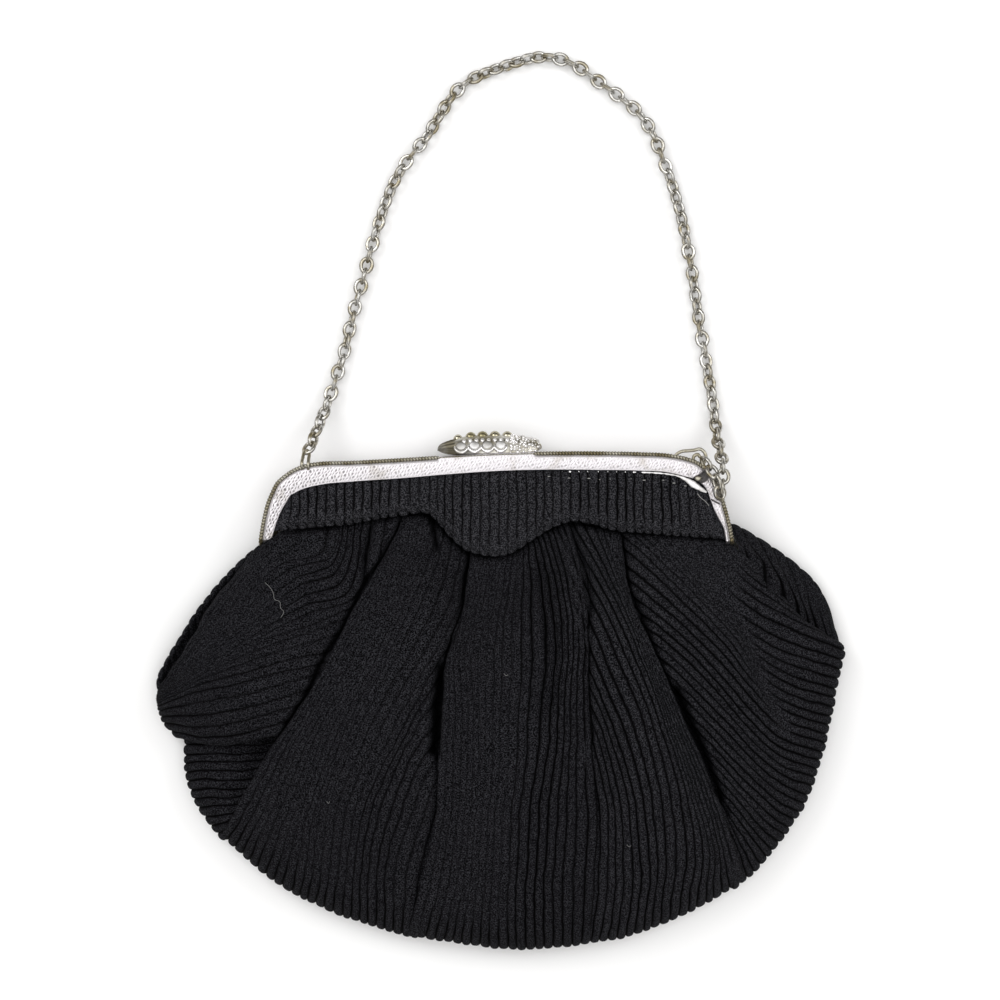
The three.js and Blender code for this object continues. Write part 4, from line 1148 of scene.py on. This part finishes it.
# how much of its height the frame keeps near the feet, where it sinks into the cloth by a smooth step
def footHeight(share):
    left, right = np.array(rail["footDip"])
    reach, dip = np.where(share[:, None] < 0.5, left, right).T
    toFoot = np.minimum(share, 1 - share) * railRun[-1]
    return 1 - dip / (rail["faceHeight"] - rail["parting"]) * ease(reach, rail["footSunk"], toFoot)


# 1 along the stretch of edge under the clasp, 0 beside it
def underClasp(x):
    left, right = planPoint(np.array(rail["claspSpan"], float), shot["middle"])[0]
    soft = rail["claspSoft"]
    return ease(left - soft, left + soft, x) * ease(right + soft, right - soft, x)


# distance in plan from a line of photo spots
def fromSpots(plan, rows):
    return fromLine(plan[..., 0], plan[..., 1], spot(rows)[:, :2])


# strokes: short waves across a leaning direction, broken along it and staggered from row to row
def strokes(x, y):
    lean = np.radians(rail["strokeLean"])
    cross = x * np.cos(lean) - y * np.sin(lean)
    follow = x * np.sin(lean) + y * np.cos(lean)
    acrossPitch, alongPitch = rail["strokePitch"]
    far, length = rail["strokeWander"]
    row = cross / acrossPitch + far * ripple(x, y, length)
    broken = np.cos(turn * (follow / alongPitch + 0.5 * np.floor(row + 0.5)))
    return np.cos(turn * row) * (0.5 + 0.5 * broken)


# damage to the front half: a crack across the face, darkened, the broken corner, darkened for its damage and
# with painted shadow of the chain, and painted shade under the clasp
def damage(plan, up, dirtAndShade, onFace):
    wide, sharp, deep, tone = rail["crackCut"]
    crack = ease(wide, sharp, fromSpots(plan, rail["crack"])) * onFace
    wide, sharp, sunk, dark = rail["brokenCut"]
    gone = ease(wide, sharp, fromSpots(plan, rail["broken"]))
    up = up - deep * crack - sunk * gone * (up > rail["parting"] + rail["brokenAbove"])
    # the broken corner is darkened for its damage and as painted shadow of the chain; the crack is darkened
    dirtAndShade = np.maximum(np.maximum(dirtAndShade, dark * gone), tone * crack)
    # painted shade under the clasp's left half
    wide, sharp, dark = rail["shadeCut"]
    shade = ease(wide, sharp, fromSpots(plan, rail["claspShade"])) * ease(*rail["shadeHeight"], up)
    return up, np.maximum(dirtAndShade, dark * shade)


# half frame: a section of wall, rounded shoulder, crowned stippled face and turned lip carried along the edge
def makeRail(name, node, back):
    steps = rail["steps"][back]
    share = np.linspace(0, 1, steps)
    edge, out, width = railPath(share)
    top, wall = rail["faceHeight"], rail["parting"]
    shoulder = np.array([(0, wall), *rail["shoulder"]])
    inner = np.array([*rail["inner"], (rail["inner"][-1][0], wall)])
    lip = np.array(rail["lip"])
    over = np.linspace(0, 1, rail["faceColumns"])
    seat = underClasp(edge[:, :1]) * (not back)
    start = rail["faceStart"] - rail["claspReach"] * seat
    faceIn = start + over[None] * (width[:, None] - start)
    crown, power = rail["crown"]
    faceUp = top - rail["faceSink"] + crown * np.sin(np.pi * over) ** power
    lipIn = width[:, None] + lip[None, :, 0]
    shoulderIn = shoulder[None, :, 0] * start / rail["faceStart"]
    inward = np.concatenate([shoulderIn, faceIn, lipIn, np.tile(inner[:, 0], (steps, 1))], axis=1)
    up = np.tile(np.concatenate([shoulder[:, 1], faceUp, top + lip[:, 1], inner[:, 1]]), (steps, 1))
    plan = edge[:, None] - out[:, None] * inward[..., None]

    last = len(shoulder) + len(over)
    onFace = np.zeros(up.shape)
    fade = rail["strokeFade"]
    onFace[:, len(shoulder) : last] = np.clip(over * fade, 0, 1) * np.clip((1 - over) * fade, 0, 1)
    stroke = strokes(plan[..., 0], plan[..., 1])
    up = up - rail["strokeDepth"] * stroke * onFace
    dirty, clean = rail["strokeTone"]
    tone = dirty + (clean - dirty) * ease(*rail["cleanFrom"], plan[..., 0])
    dirtAndShade = tone * ease(*rail["strokeEdge"], stroke) * onFace
    near, full, enough, far = rail["seam"]
    seam = ease(near, full, inward) * ease(far, enough, inward) * (1 - seat)
    dirtAndShade[:, :last] = np.maximum(dirtAndShade, rail["seamTone"] * seam)[:, :last]
    # painted shade under the clasp and at the broken corner goes into the front half's mark
    if not back:
        up, dirtAndShade = damage(plan, up, dirtAndShade, onFace)
    up = wall + (up - wall) * footHeight(share)[:, None]
    points = np.concatenate([plan, up[..., None]], axis=-1)
    if back:
        points[..., 2] = mirrorHeight - points[..., 2]
    silver = finishes["stippleSilver"]
    piece = gridPiece(name, points, silver, closeCols=True, capEnds=True, marks={"wearAndShade": dirtAndShade})
    settle(piece, "bag", node)
    print("metal:", name, points.shape[0] * points.shape[1], "points")


# milled rim: a tube along the outer edge with a twisted ripple, thin under the clasp and torn at the corner
def makeRim(name, back):
    count = int(railRun[-1] / rail["rimPitch"])
    share = np.linspace(0, 1, count * rail["rimSteps"] + 1)
    edge, out = railPath(share)[:2]
    centre = edge - out * rail["rimInset"] * rail["rimRadius"]
    toFoot = np.minimum(share, 1 - share) * railRun[-1]
    top, wall = rail["faceHeight"] - rail["rimBelow"], rail["parting"]
    height = wall + (top - wall) * footHeight(share)
    groove = (1 + np.cos(turn * count * share[:, None] + circle(rail["rimSides"])[None])) / 2
    radius = rail["rimRadius"] * (1 - rail["rimGroove"] * groove) * ease(*rail["rimFoot"], toFoot)[:, None]
    if back:
        height = mirrorHeight - height
    else:
        near, far, left = rail["rimTorn"]
        whole = left + (1 - left) * ease(near, far, fromSpots(centre, rail["broken"]))
        radius = radius * ((1 - rail["rimThin"] * underClasp(centre[:, 0])) * whole)[:, None]
    tube = tubeGrid(np.column_stack([centre, height]), radius, rail["rimSides"])
    marks = {"wearAndShade": rail["rimDirt"] * groove}
    piece = gridPiece(name, tube, finishes["rimSilver"], closeCols=True, capEnds=True, marks=marks)
    settle(piece, "bag")
    print("metal:", name, "of", count, "turns")


for side, back in (("front", False), ("back", True)):
    makeRail("frame_" + side, side + "_frame", back)
    makeRim("frame_" + side + "_rim", back)

# worn right corner: the channel's bare inner lip, a rivet in the broken corner, stitches and a loose thread
wornCorner = {
    "lip": (  # pixel x, y, height
        (562, 471.6, 16.6), (590, 471.4, 16.6), (620, 471.8, 16.7), (640, 472.2, 17.0), (655, 472.8, 17.2),
        (668, 474, 17.2), (680, 476.6, 17.2), (687, 480, 17.3), (694, 484.8, 17.3), (701, 489, 17.3),
        (707, 492.5, 17.2),
    ),
    "lipSteps": 260,
    "lipRadius": 0.3,
    "lipUneven": (0.35, 0.83, 0.31, 1.0),  # share of the radius, two waves in radians a pixel, offset
    "lipTip": 0.08,
    "lipFlat": 0.35,
    "lipBulge": (692, 11, 0.9),  # the torn piece near the corner: pixel x, half length, added radius
    "rivet": (698.3, 478.4, 17.6),
    "rivetRadius": 1.15,
    "rivetShape": (1.1, 0.8, 0.5),
    "stitchRow": (
        (548, 477, 17.4), (600, 479, 17.4), (650, 480, 17.4), (672, 482, 17.4), (684, 486.5, 17.4),
    ),
    "stitches": 14,
    "stitchSeed": 5,
    "stitchWander": (0.5, 0.25),  # in x and y
    "stitchLost": 0.15,
    "stitchUneven": (0.8, 1.15),
    "stitchSize": (0.55, 0.17, 0.24),
    "thread": ((697.5, 493.6, 18.0), (701, 498, 18.2), (705, 501, 18.2), (709, 505.8, 18.2)),
    "threadSteps": 24,
    "threadRadius": 0.11,
}


# lip: a flattened tube of uneven radius; stitches: small long beads, a few of them lost
def makeWornCorner():
    path = spotPath(wornCorner["lip"], wornCorner["lipSteps"])
    pixel = np.linspace(wornCorner["lip"][0][0], wornCorner["lip"][-1][0], len(path))
    uneven, quick, slow, offset = wornCorner["lipUneven"]
    radius = wornCorner["lipRadius"] * (1 + uneven * np.sin(pixel * quick) * np.sin(pixel * slow + offset))
    centre, reach, extra = wornCorner["lipBulge"]
    radius = radius + extra * np.exp(-(((pixel - centre) / reach) ** 2))
    radius[[0, -1]] = wornCorner["lipTip"]
    tube = tubeGrid(path, radius)
    tube[..., 2] = path[:, None, 2] + (tube[..., 2] - path[:, None, 2]) * wornCorner["lipFlat"]
    lip = gridPiece("frame_inner_lip", tube, finishes["lipMetal"], closeCols=True, capEnds=True)
    settle(lip, "bag")
    middle = spot([wornCorner["rivet"]])
    rivet = beadGrids(middle, wornCorner["rivetRadius"], 11, 16, wornCorner["rivetShape"])
    rivet = gridPiece("frame_rivet", rivet, finishes["rimSilver"], closeCols=True, mergePoles=True)
    settle(rivet, "bag")

    dice = np.random.default_rng(wornCorner["stitchSeed"])
    row = spotPath(wornCorner["stitchRow"], wornCorner["stitches"])
    for axis, far in enumerate(wornCorner["stitchWander"]):
        row[:, axis] += dice.uniform(-far, far, len(row))
    kept = dice.uniform(0, 1, len(row)) > wornCorner["stitchLost"]
    scale = dice.uniform(*wornCorner["stitchUneven"], kept.sum())
    sewn = beadGrids(row[kept], scale, squash=wornCorner["stitchSize"])
    sewn = gridPiece("yoke_stitches", sewn, finishes["paleThread"], closeCols=True, mergePoles=True)
    settle(sewn, "bag")
    loose = tubeGrid(spotPath(wornCorner["thread"], wornCorner["threadSteps"]), wornCorner["threadRadius"], 8)
    loose = gridPiece("loose_thread", loose, finishes["paleThread"], closeCols=True, capEnds=True)
    settle(loose, "bag")
    print("wear: lip, rivet,", int(kept.sum()), "stitches, thread")


makeWornCorner()

# lint on the cloth: one wavy hair and three flecks, as pixels
lint = {
    "hairs": (
        (
            (263.8, 583), (268.8, 587.5), (272.5, 593.5), (273.8, 599.5), (279.4, 602), (280.6, 608.5),
            (283.8, 611.5), (281, 617.5),
        ),
        ((504, 672), (506, 674), (508, 673)),
        ((328, 799), (330, 801), (331, 799)),
        ((626, 842), (628, 844), (630, 843)),
    ),
    "seenAt": 25.0,  # height at which the pixels are read
    "steps": 24,
    "feel": 1.3,  # the cloth within this carries the hair
    "even": 7,  # steps that its height is evened out over
    "above": 0.25,
    "radius": 0.1,
}


# highest cloth close to each place
def clothTop(x, y):
    spots = np.concatenate(frontSpots)
    near = np.hypot(spots[None, :, 0] - x[:, None], spots[None, :, 1] - y[:, None]) < lint["feel"]
    return np.where(near, spots[None, :, 2], 0).max(axis=1)


# hair: a thin tube along pixels, resting on the highest cloth there, evened out along the hair
def makeLint():
    tubes = []
    even = lint["even"]
    for hair in lint["hairs"]:
        rows = np.column_stack([np.array(hair, float), np.full(len(hair), lint["seenAt"])])
        path = spotPath(rows, lint["steps"])
        high = np.pad(clothTop(path[:, 0], path[:, 1]), even // 2, mode="edge")
        path[:, 2] = np.convolve(high, np.ones(even) / even, mode="valid") + lint["above"]
        tubes.append(tubeGrid(path, lint["radius"], 6))
    piece = gridPiece("lint_hairs", np.array(tubes), finishes["lintGrey"], closeCols=True, capEnds=True)
    settle(piece, "bag")
    print("wear:", len(tubes), "lint hairs")


makeLint()

# clasp: a beaded dome on the frame's top edge, lifted by its tongue
clasp = {
    "place": (-3.7, 86.45, 10.8),  # middle of its base
    "turnDeg": 1.2,
    "halfLength": 19.0,
    "halfDepth": 5.7,
    "dome": 7.1,
    "slimPower": 3,  # of the oval that it narrows by along its length
    "depthPower": 0.8,
    "coverGrid": (121, 33),
    "crownBeads": (  # x, radius
        (-11.4, 1.75), (-6.8, 2.0), (-2.5, 2.1), (2.0, 2.05), (6.5, 2.0),
    ),
    "crownSink": 0.3,  # of each bead's radius
    "crownForward": 0.6,
    "endRise": 1.9,  # its base curves up to both tips
    "endPower": 7,
    "lowBeads": (-9.2, 8.6, 9, 0.9),  # a row of small beads below the crown: from, to, count, radius
    "lowAngle": 44.0,
    "cups": (-10.3, -5.5, -0.8, 4.0),
    "cupHeight": 3.2,
    "cupRadius": 2.3,
    "cupWire": 0.72,
    "cupArc": (178, 362),  # degrees of the ring that show
    "cupSteps": 25,
    "cupSides": 8,
    "cupTaper": (0.3, 0.6),  # share of the wire left at the ring's ends, and power of the sine between
    "cupLean": (0.3, 0.954),  # the way out from the dome: along the frame's up, and its face
    "cupOut": 0.35,
    "cupBead": 0.85,  # of the cup's radius
    "cupShape": (1, 0.85, 0.22),
    "cupPaintedShade": (0.15, 0.5),  # painted shade: some everywhere, and more towards its top
    "cupShadeReach": 0.55,
    "fineFrom": 7.8,  # the right end is set with fine beads
    "fineTo": 0.975,  # of the half length
    "finePitch": 1.2,
    "fineRing": 0.9,  # of the pitch, from ring to ring
    "fineEnds": 0.06,  # radians left free at the base
    "fineSteps": 200,
    "fineSeed": 3,
    "fineWander": 0.32,
    "fineRadius": 0.62,
    "fineUneven": (0.55, 1.3),
    "ridgedTo": -12.4,  # the left tip is ridged and dark
    "ridgedSoft": 0.8,
    "ridges": 9,  # long ridges over the tip
    "ridgeDepth": 0.16,
    "tipDirt": (0.2, 0.45),  # everywhere, and more on the ridges' low parts
    "paintedBaseShade": 0.6,  # painted shade low on the front, over an angle and over x
    "paintedBaseShadeAngle": (0.75, 0.3),
    "paintedBaseShadeX": (-1.0, -7.0),
}


# on the dome: x along it, and an angle from the front base over the crown to the back base;
# both the height and the depth shrink towards the ends as an oval, and the base rises to the tips
def domePoint(x, angle):
    away = np.abs(x / clasp["halfLength"])
    slim = np.sqrt(np.clip(1 - away ** clasp["slimPower"], 0, 1))
    cosine = np.cos(angle)
    high = clasp["dome"] * slim * np.sin(angle) + clasp["endRise"] * away ** clasp["endPower"]
    deep = clasp["halfDepth"] * np.sign(cosine) * (slim * np.abs(cosine)) ** clasp["depthPower"]
    return np.stack(np.broadcast_arrays(x, high, deep), axis=-1)


# one of the clasp's metal pieces: its points turned on the table and put at the clasp's place
def claspPiece(name, points, finish, node=None, **ways):
    tilt = np.radians(clasp["turnDeg"])
    x = points[..., 0] * np.cos(tilt) - points[..., 1] * np.sin(tilt)
    y = points[..., 0] * np.sin(tilt) + points[..., 1] * np.cos(tilt)
    placed = np.stack([x, y, points[..., 2]], axis=-1) + np.array(clasp["place"])
    piece = gridPiece(name, placed, finishes[finish], closeCols=True, **ways)
    settle(piece, "clasp", node)


# cover: the dome, its left tip ridged by a cosine across it, dirty in the ridges, with painted shade low on
# its front left
def makeClaspCover():
    rows, cols = clasp["coverGrid"]
    x = -clasp["halfLength"] * np.cos(np.linspace(0, np.pi, rows))[:, None]
    angle = np.linspace(0, np.pi, cols)[None]
    shell = domePoint(x, angle)
    tip = ease(clasp["ridgedTo"] + clasp["ridgedSoft"], clasp["ridgedTo"] - clasp["ridgedSoft"], x)
    wave = (1 - np.cos(2 * clasp["ridges"] * angle)) / 2
    shell[..., 1:] *= (1 - clasp["ridgeDepth"] * tip * wave)[..., None]
    least, more = clasp["tipDirt"]
    # painted shade low on the front left of the dome
    low = clasp["paintedBaseShade"] * ease(*clasp["paintedBaseShadeAngle"], angle) * ease(*clasp["paintedBaseShadeX"], x)
    dirtAndShade = np.maximum(tip * (least + more * wave), low)
    marks = {"wearAndShade": dirtAndShade}
    claspPiece("clasp_cover", shell, "claspDark", "clasp_lever", mergePoles=True, marks=marks)


def makeClaspBeads():
    crown = np.array(clasp["crownBeads"])
    tops = domePoint(crown[:, 0], np.full(len(crown), np.pi / 2))
    tops[:, 1] -= clasp["crownSink"] * crown[:, 1]
    tops[:, 2] += clasp["crownForward"]
    claspPiece("clasp_crown_beads", beadGrids(tops, crown[:, 1], 13, 18), "crownOlive", mergePoles=True)

    start, stop, count, radius = clasp["lowBeads"]
    along = np.linspace(start, stop, count)
    steep = np.radians(clasp["lowAngle"])
    low = np.concatenate([domePoint(along, np.full(count, a)) for a in (steep, np.pi - steep)])
    claspPiece("clasp_low_beads", beadGrids(low, radius), "claspSilver", mergePoles=True)


# cups: the lower half of a wire ring round a shallow bead, on the front and on the back of the dome
def makeClaspCups():
    place = np.array(clasp["cups"])
    lift = np.arcsin(clasp["cupHeight"] / clasp["dome"])
    arc = np.linspace(*np.radians(clasp["cupArc"]), clasp["cupSteps"])
    least, power = clasp["cupTaper"]
    taper = least + (1 - least) * np.sin(np.linspace(0, np.pi, len(arc))) ** power
    wire = circle(clasp["cupSides"])[None, :, None]
    up, out = clasp["cupLean"]
    centres, rings = [], []
    for side in (1.0, -1.0):
        centre = domePoint(place, np.full(len(place), lift if side > 0 else np.pi - lift))
        outward = np.array([0, up, out * side])
        rise = np.array([0, out, -up * side])
        spoke = np.cos(arc)[:, None] * np.array([1.0, 0, 0]) + np.sin(arc)[:, None] * rise
        ring = centre[:, None] + clasp["cupOut"] * outward + clasp["cupRadius"] * spoke[None]
        hoop = np.cos(wire) * spoke[:, None] + np.sin(wire) * outward
        rings.append(ring[:, :, None] + clasp["cupWire"] * taper[:, None, None] * hoop)
        centres.append(centre)
    centres = np.concatenate(centres)
    shells = beadGrids(centres, clasp["cupRadius"] * clasp["cupBead"], 9, 14, clasp["cupShape"])
    reach = clasp["cupShadeReach"]
    high = ease(-reach, reach, (shells[..., 1] - centres[:, None, None, 1]) / clasp["cupRadius"])
    # painted shade on the cup beads, darker towards their tops under the crown
    least, more = clasp["cupPaintedShade"]
    marks = {"wearAndShade": least + more * high}
    claspPiece("clasp_cups", shells, "claspSilver", mergePoles=True, marks=marks)
    claspPiece("clasp_cup_rims", np.concatenate(rings), "claspSilver", capEnds=True)


# fine beads over the right end, in rings round the dome, staggered from ring to ring
def makeClaspFine():
    pitch = clasp["finePitch"]
    fine = []
    ends = clasp["fineEnds"]
    angle = np.linspace(ends, np.pi - ends, clasp["fineSteps"])
    stop = clasp["fineTo"] * clasp["halfLength"]
    for i, at in enumerate(np.arange(clasp["fineFrom"], stop, pitch * clasp["fineRing"])):
        ring = domePoint(np.full(len(angle), at), angle)
        run = runAlong(ring)
        spots = (np.arange(int(run[-1] / pitch)) + 0.25 + 0.5 * (i % 2)) * pitch
        fine.append(readOff(spots, run, ring))
    dice = np.random.default_rng(clasp["fineSeed"])
    fine = np.concatenate(fine)
    fine = fine + dice.uniform(-clasp["fineWander"], clasp["fineWander"], fine.shape)
    radii = clasp["fineRadius"] * dice.uniform(*clasp["fineUneven"], len(fine))
    claspPiece("clasp_fine_beads", beadGrids(fine, radii, cols=8), "claspSilver", mergePoles=True)
    print("metal: clasp,", len(fine), "fine beads")


makeClaspCover()
makeClaspBeads()
makeClaspCups()
makeClaspFine()

# bails that the chain hangs from, as pixel x, y and height: the left one stands, the right one lies over
lugs = {
    "left": (
        (302.4, 469, 18.0), (301.8, 464.5, 19.0), (302.8, 457.5, 17.4), (304.8, 452, 15.8),
        (307, 450.6, 15.4), (309, 453.4, 16.4), (308.6, 459.5, 18.0), (308.2, 465, 19.0),
        (308.4, 469.4, 18.0),
    ),
    "right": (
        (674, 458, 15.6), (677.5, 453.6, 15.8), (682, 451.4, 16.0), (688, 450.8, 16.2), (694, 450.2, 16.4),
        (700, 449, 16.6), (704.6, 452.6, 16.8), (705.8, 458.6, 17.0), (702.8, 463.8, 17.2),
        (697.4, 464, 17.3), (693.4, 460.4, 17.4), (694.2, 456, 17.6), (698, 454.6, 17.8),
        (700.4, 457.6, 18.0),
    ),
    "wire": 0.62,
    "steps": 90,
}


def makeLugs():
    for side in ("left", "right"):
        wire = tubeGrid(spotPath(lugs[side], lugs["steps"]), lugs["wire"])
        piece = gridPiece("lug_" + side, wire, finishes["rimSilver"], closeCols=True, capEnds=True)
        settle(piece, "bag", "chain_lug_" + side)
    print("metal: two bails")


makeLugs()

# chain of oval links, each turned a quarter from the last
chain = {
    "length": 6.7,
    "width": 5.4,
    "wire": 1.4,
    "pitch": 4.05,
    "around": 22,
    "sides": 8,
    "dull": 0.5,  # how much darker the wire is on the inner and outer sides of each link
    "feel": 1.5,  # a link lies along the route over this to both sides
    "sway": ((1.1, 13.0, 0.6), (0.5, 8.3, 1.0)),  # waves along the route: how far, mm a radian, offset
    "lean": 0.1,
    "rollMost": 46.0,  # degrees
    "rollSharp": 0.9,
    "floorGap": 0.1,
    "fineSteps": 4000,
    "route": (  # pixel x, y, height
        (306.9, 452, 15.6), (310.2, 445.7, 14.0), (317.8, 427.2, 9.0), (325.9, 407.6, 4.8), (336.7, 376, 2.9),
        (343.3, 355.4, 2.7), (348.9, 332.6, 2.7), (356.7, 301, 2.7), (362.6, 280.4, 2.7), (368.4, 258.7, 2.7),
        (377.6, 227, 2.7), (385.2, 204, 2.7), (393, 184.5, 2.7), (410, 157, 2.7), (424.6, 139.4, 2.7),
        (437.6, 118.6, 2.7), (456, 92, 2.7), (472.4, 78.9, 2.7), (494, 70, 2.7), (515.4, 62.6, 2.7),
        (537.4, 57.4, 2.7), (559, 59, 2.7), (578.8, 67.6, 2.7), (597, 80.6, 2.7), (617, 95, 2.7),
        (640, 114.6, 2.7), (654.2, 136.6, 2.7), (662.4, 158.4, 2.7), (668.2, 173, 2.7), (674.4, 192, 2.7),
        (680.2, 212.6, 2.7), (687, 244.6, 2.7), (691.2, 267, 2.7), (695.4, 295.7, 2.7), (699.2, 321.7, 2.7),
        (703.2, 345, 2.7), (708, 373.9, 2.7), (712, 396.7, 2.8), (714.8, 418.5, 3.6), (717, 437, 7.5),
        (720.4, 452, 13.2), (722.8, 468, 18.6), (722.8, 484, 20.6), (721, 495, 21.0), (718.4, 488, 22.2),
        (715.4, 478, 22.2), (710, 468, 20.8), (702.6, 460, 18.8),
    ),
}


# links: an oval wire ring in a plane through the path, placed at equal steps along it, and rolled about the
# path by a slow sway on top of the quarter turns
def makeChain():
    fine = spotPath(chain["route"], chain["fineSteps"])
    run = runAlong(fine)
    count = int(run[-1] / chain["pitch"])
    at = (np.arange(count) + 0.5) * run[-1] / count
    centre = readOff(at, run, fine)
    along = unit(readOff(at + chain["feel"], run, fine) - readOff(at - chain["feel"], run, fine))
    flat = unit(np.cross(along, (0, 0, 1.0)))
    up = np.cross(flat, along)
    sway = sum(far * np.sin(at / length + offset) for far, length, offset in chain["sway"]) + chain["lean"]
    roll = np.radians(chain["rollMost"] * np.tanh(chain["rollSharp"] * sway))
    spin = (roll + (np.arange(count) % 2) * np.pi / 2)[:, None]
    side = np.cos(spin) * flat + np.sin(spin) * up
    face = -np.sin(spin) * flat + np.cos(spin) * up
    around = circle(chain["around"])[None, :, None]
    long = (chain["length"] - chain["wire"]) / 2
    wide = (chain["width"] - chain["wire"]) / 2
    ring = long * np.cos(around) * along[:, None] + wide * np.sin(around) * side[:, None]
    spoke = unit(wide * np.cos(around) * along[:, None] + long * np.sin(around) * side[:, None])
    angle = circle(chain["sides"])
    wire = np.cos(angle)[:, None] * spoke[:, :, None] + np.sin(angle)[:, None] * face[:, None, None]
    points = centre[:, None, None] + ring[:, :, None] + chain["wire"] / 2 * wire
    sunk = chain["floorGap"] - points[..., 2].min(axis=(1, 2))
    points[..., 2] += np.maximum(sunk, 0)[:, None, None]
    marks = {"wearAndShade": chain["dull"] * np.cos(angle)[None, None] ** 2}
    silver = finishes["chainSilver"]
    links = gridPiece("chain_links", points, silver, closeRows=True, closeCols=True, marks=marks)
    settle(links, "bag", "chain")
    print("metal: chain,", count, "links along", round(float(run[-1]), 1), "mm")


makeChain()

# small metal CAD pieces keep their solids under a finish of their own
for node in ("hinge_pin_left", "hinge_pin_right", "clasp_hinge"):
    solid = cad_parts[node]
    solid.data.materials.clear()
    solid.data.materials.append(finishes["rimSilver"])
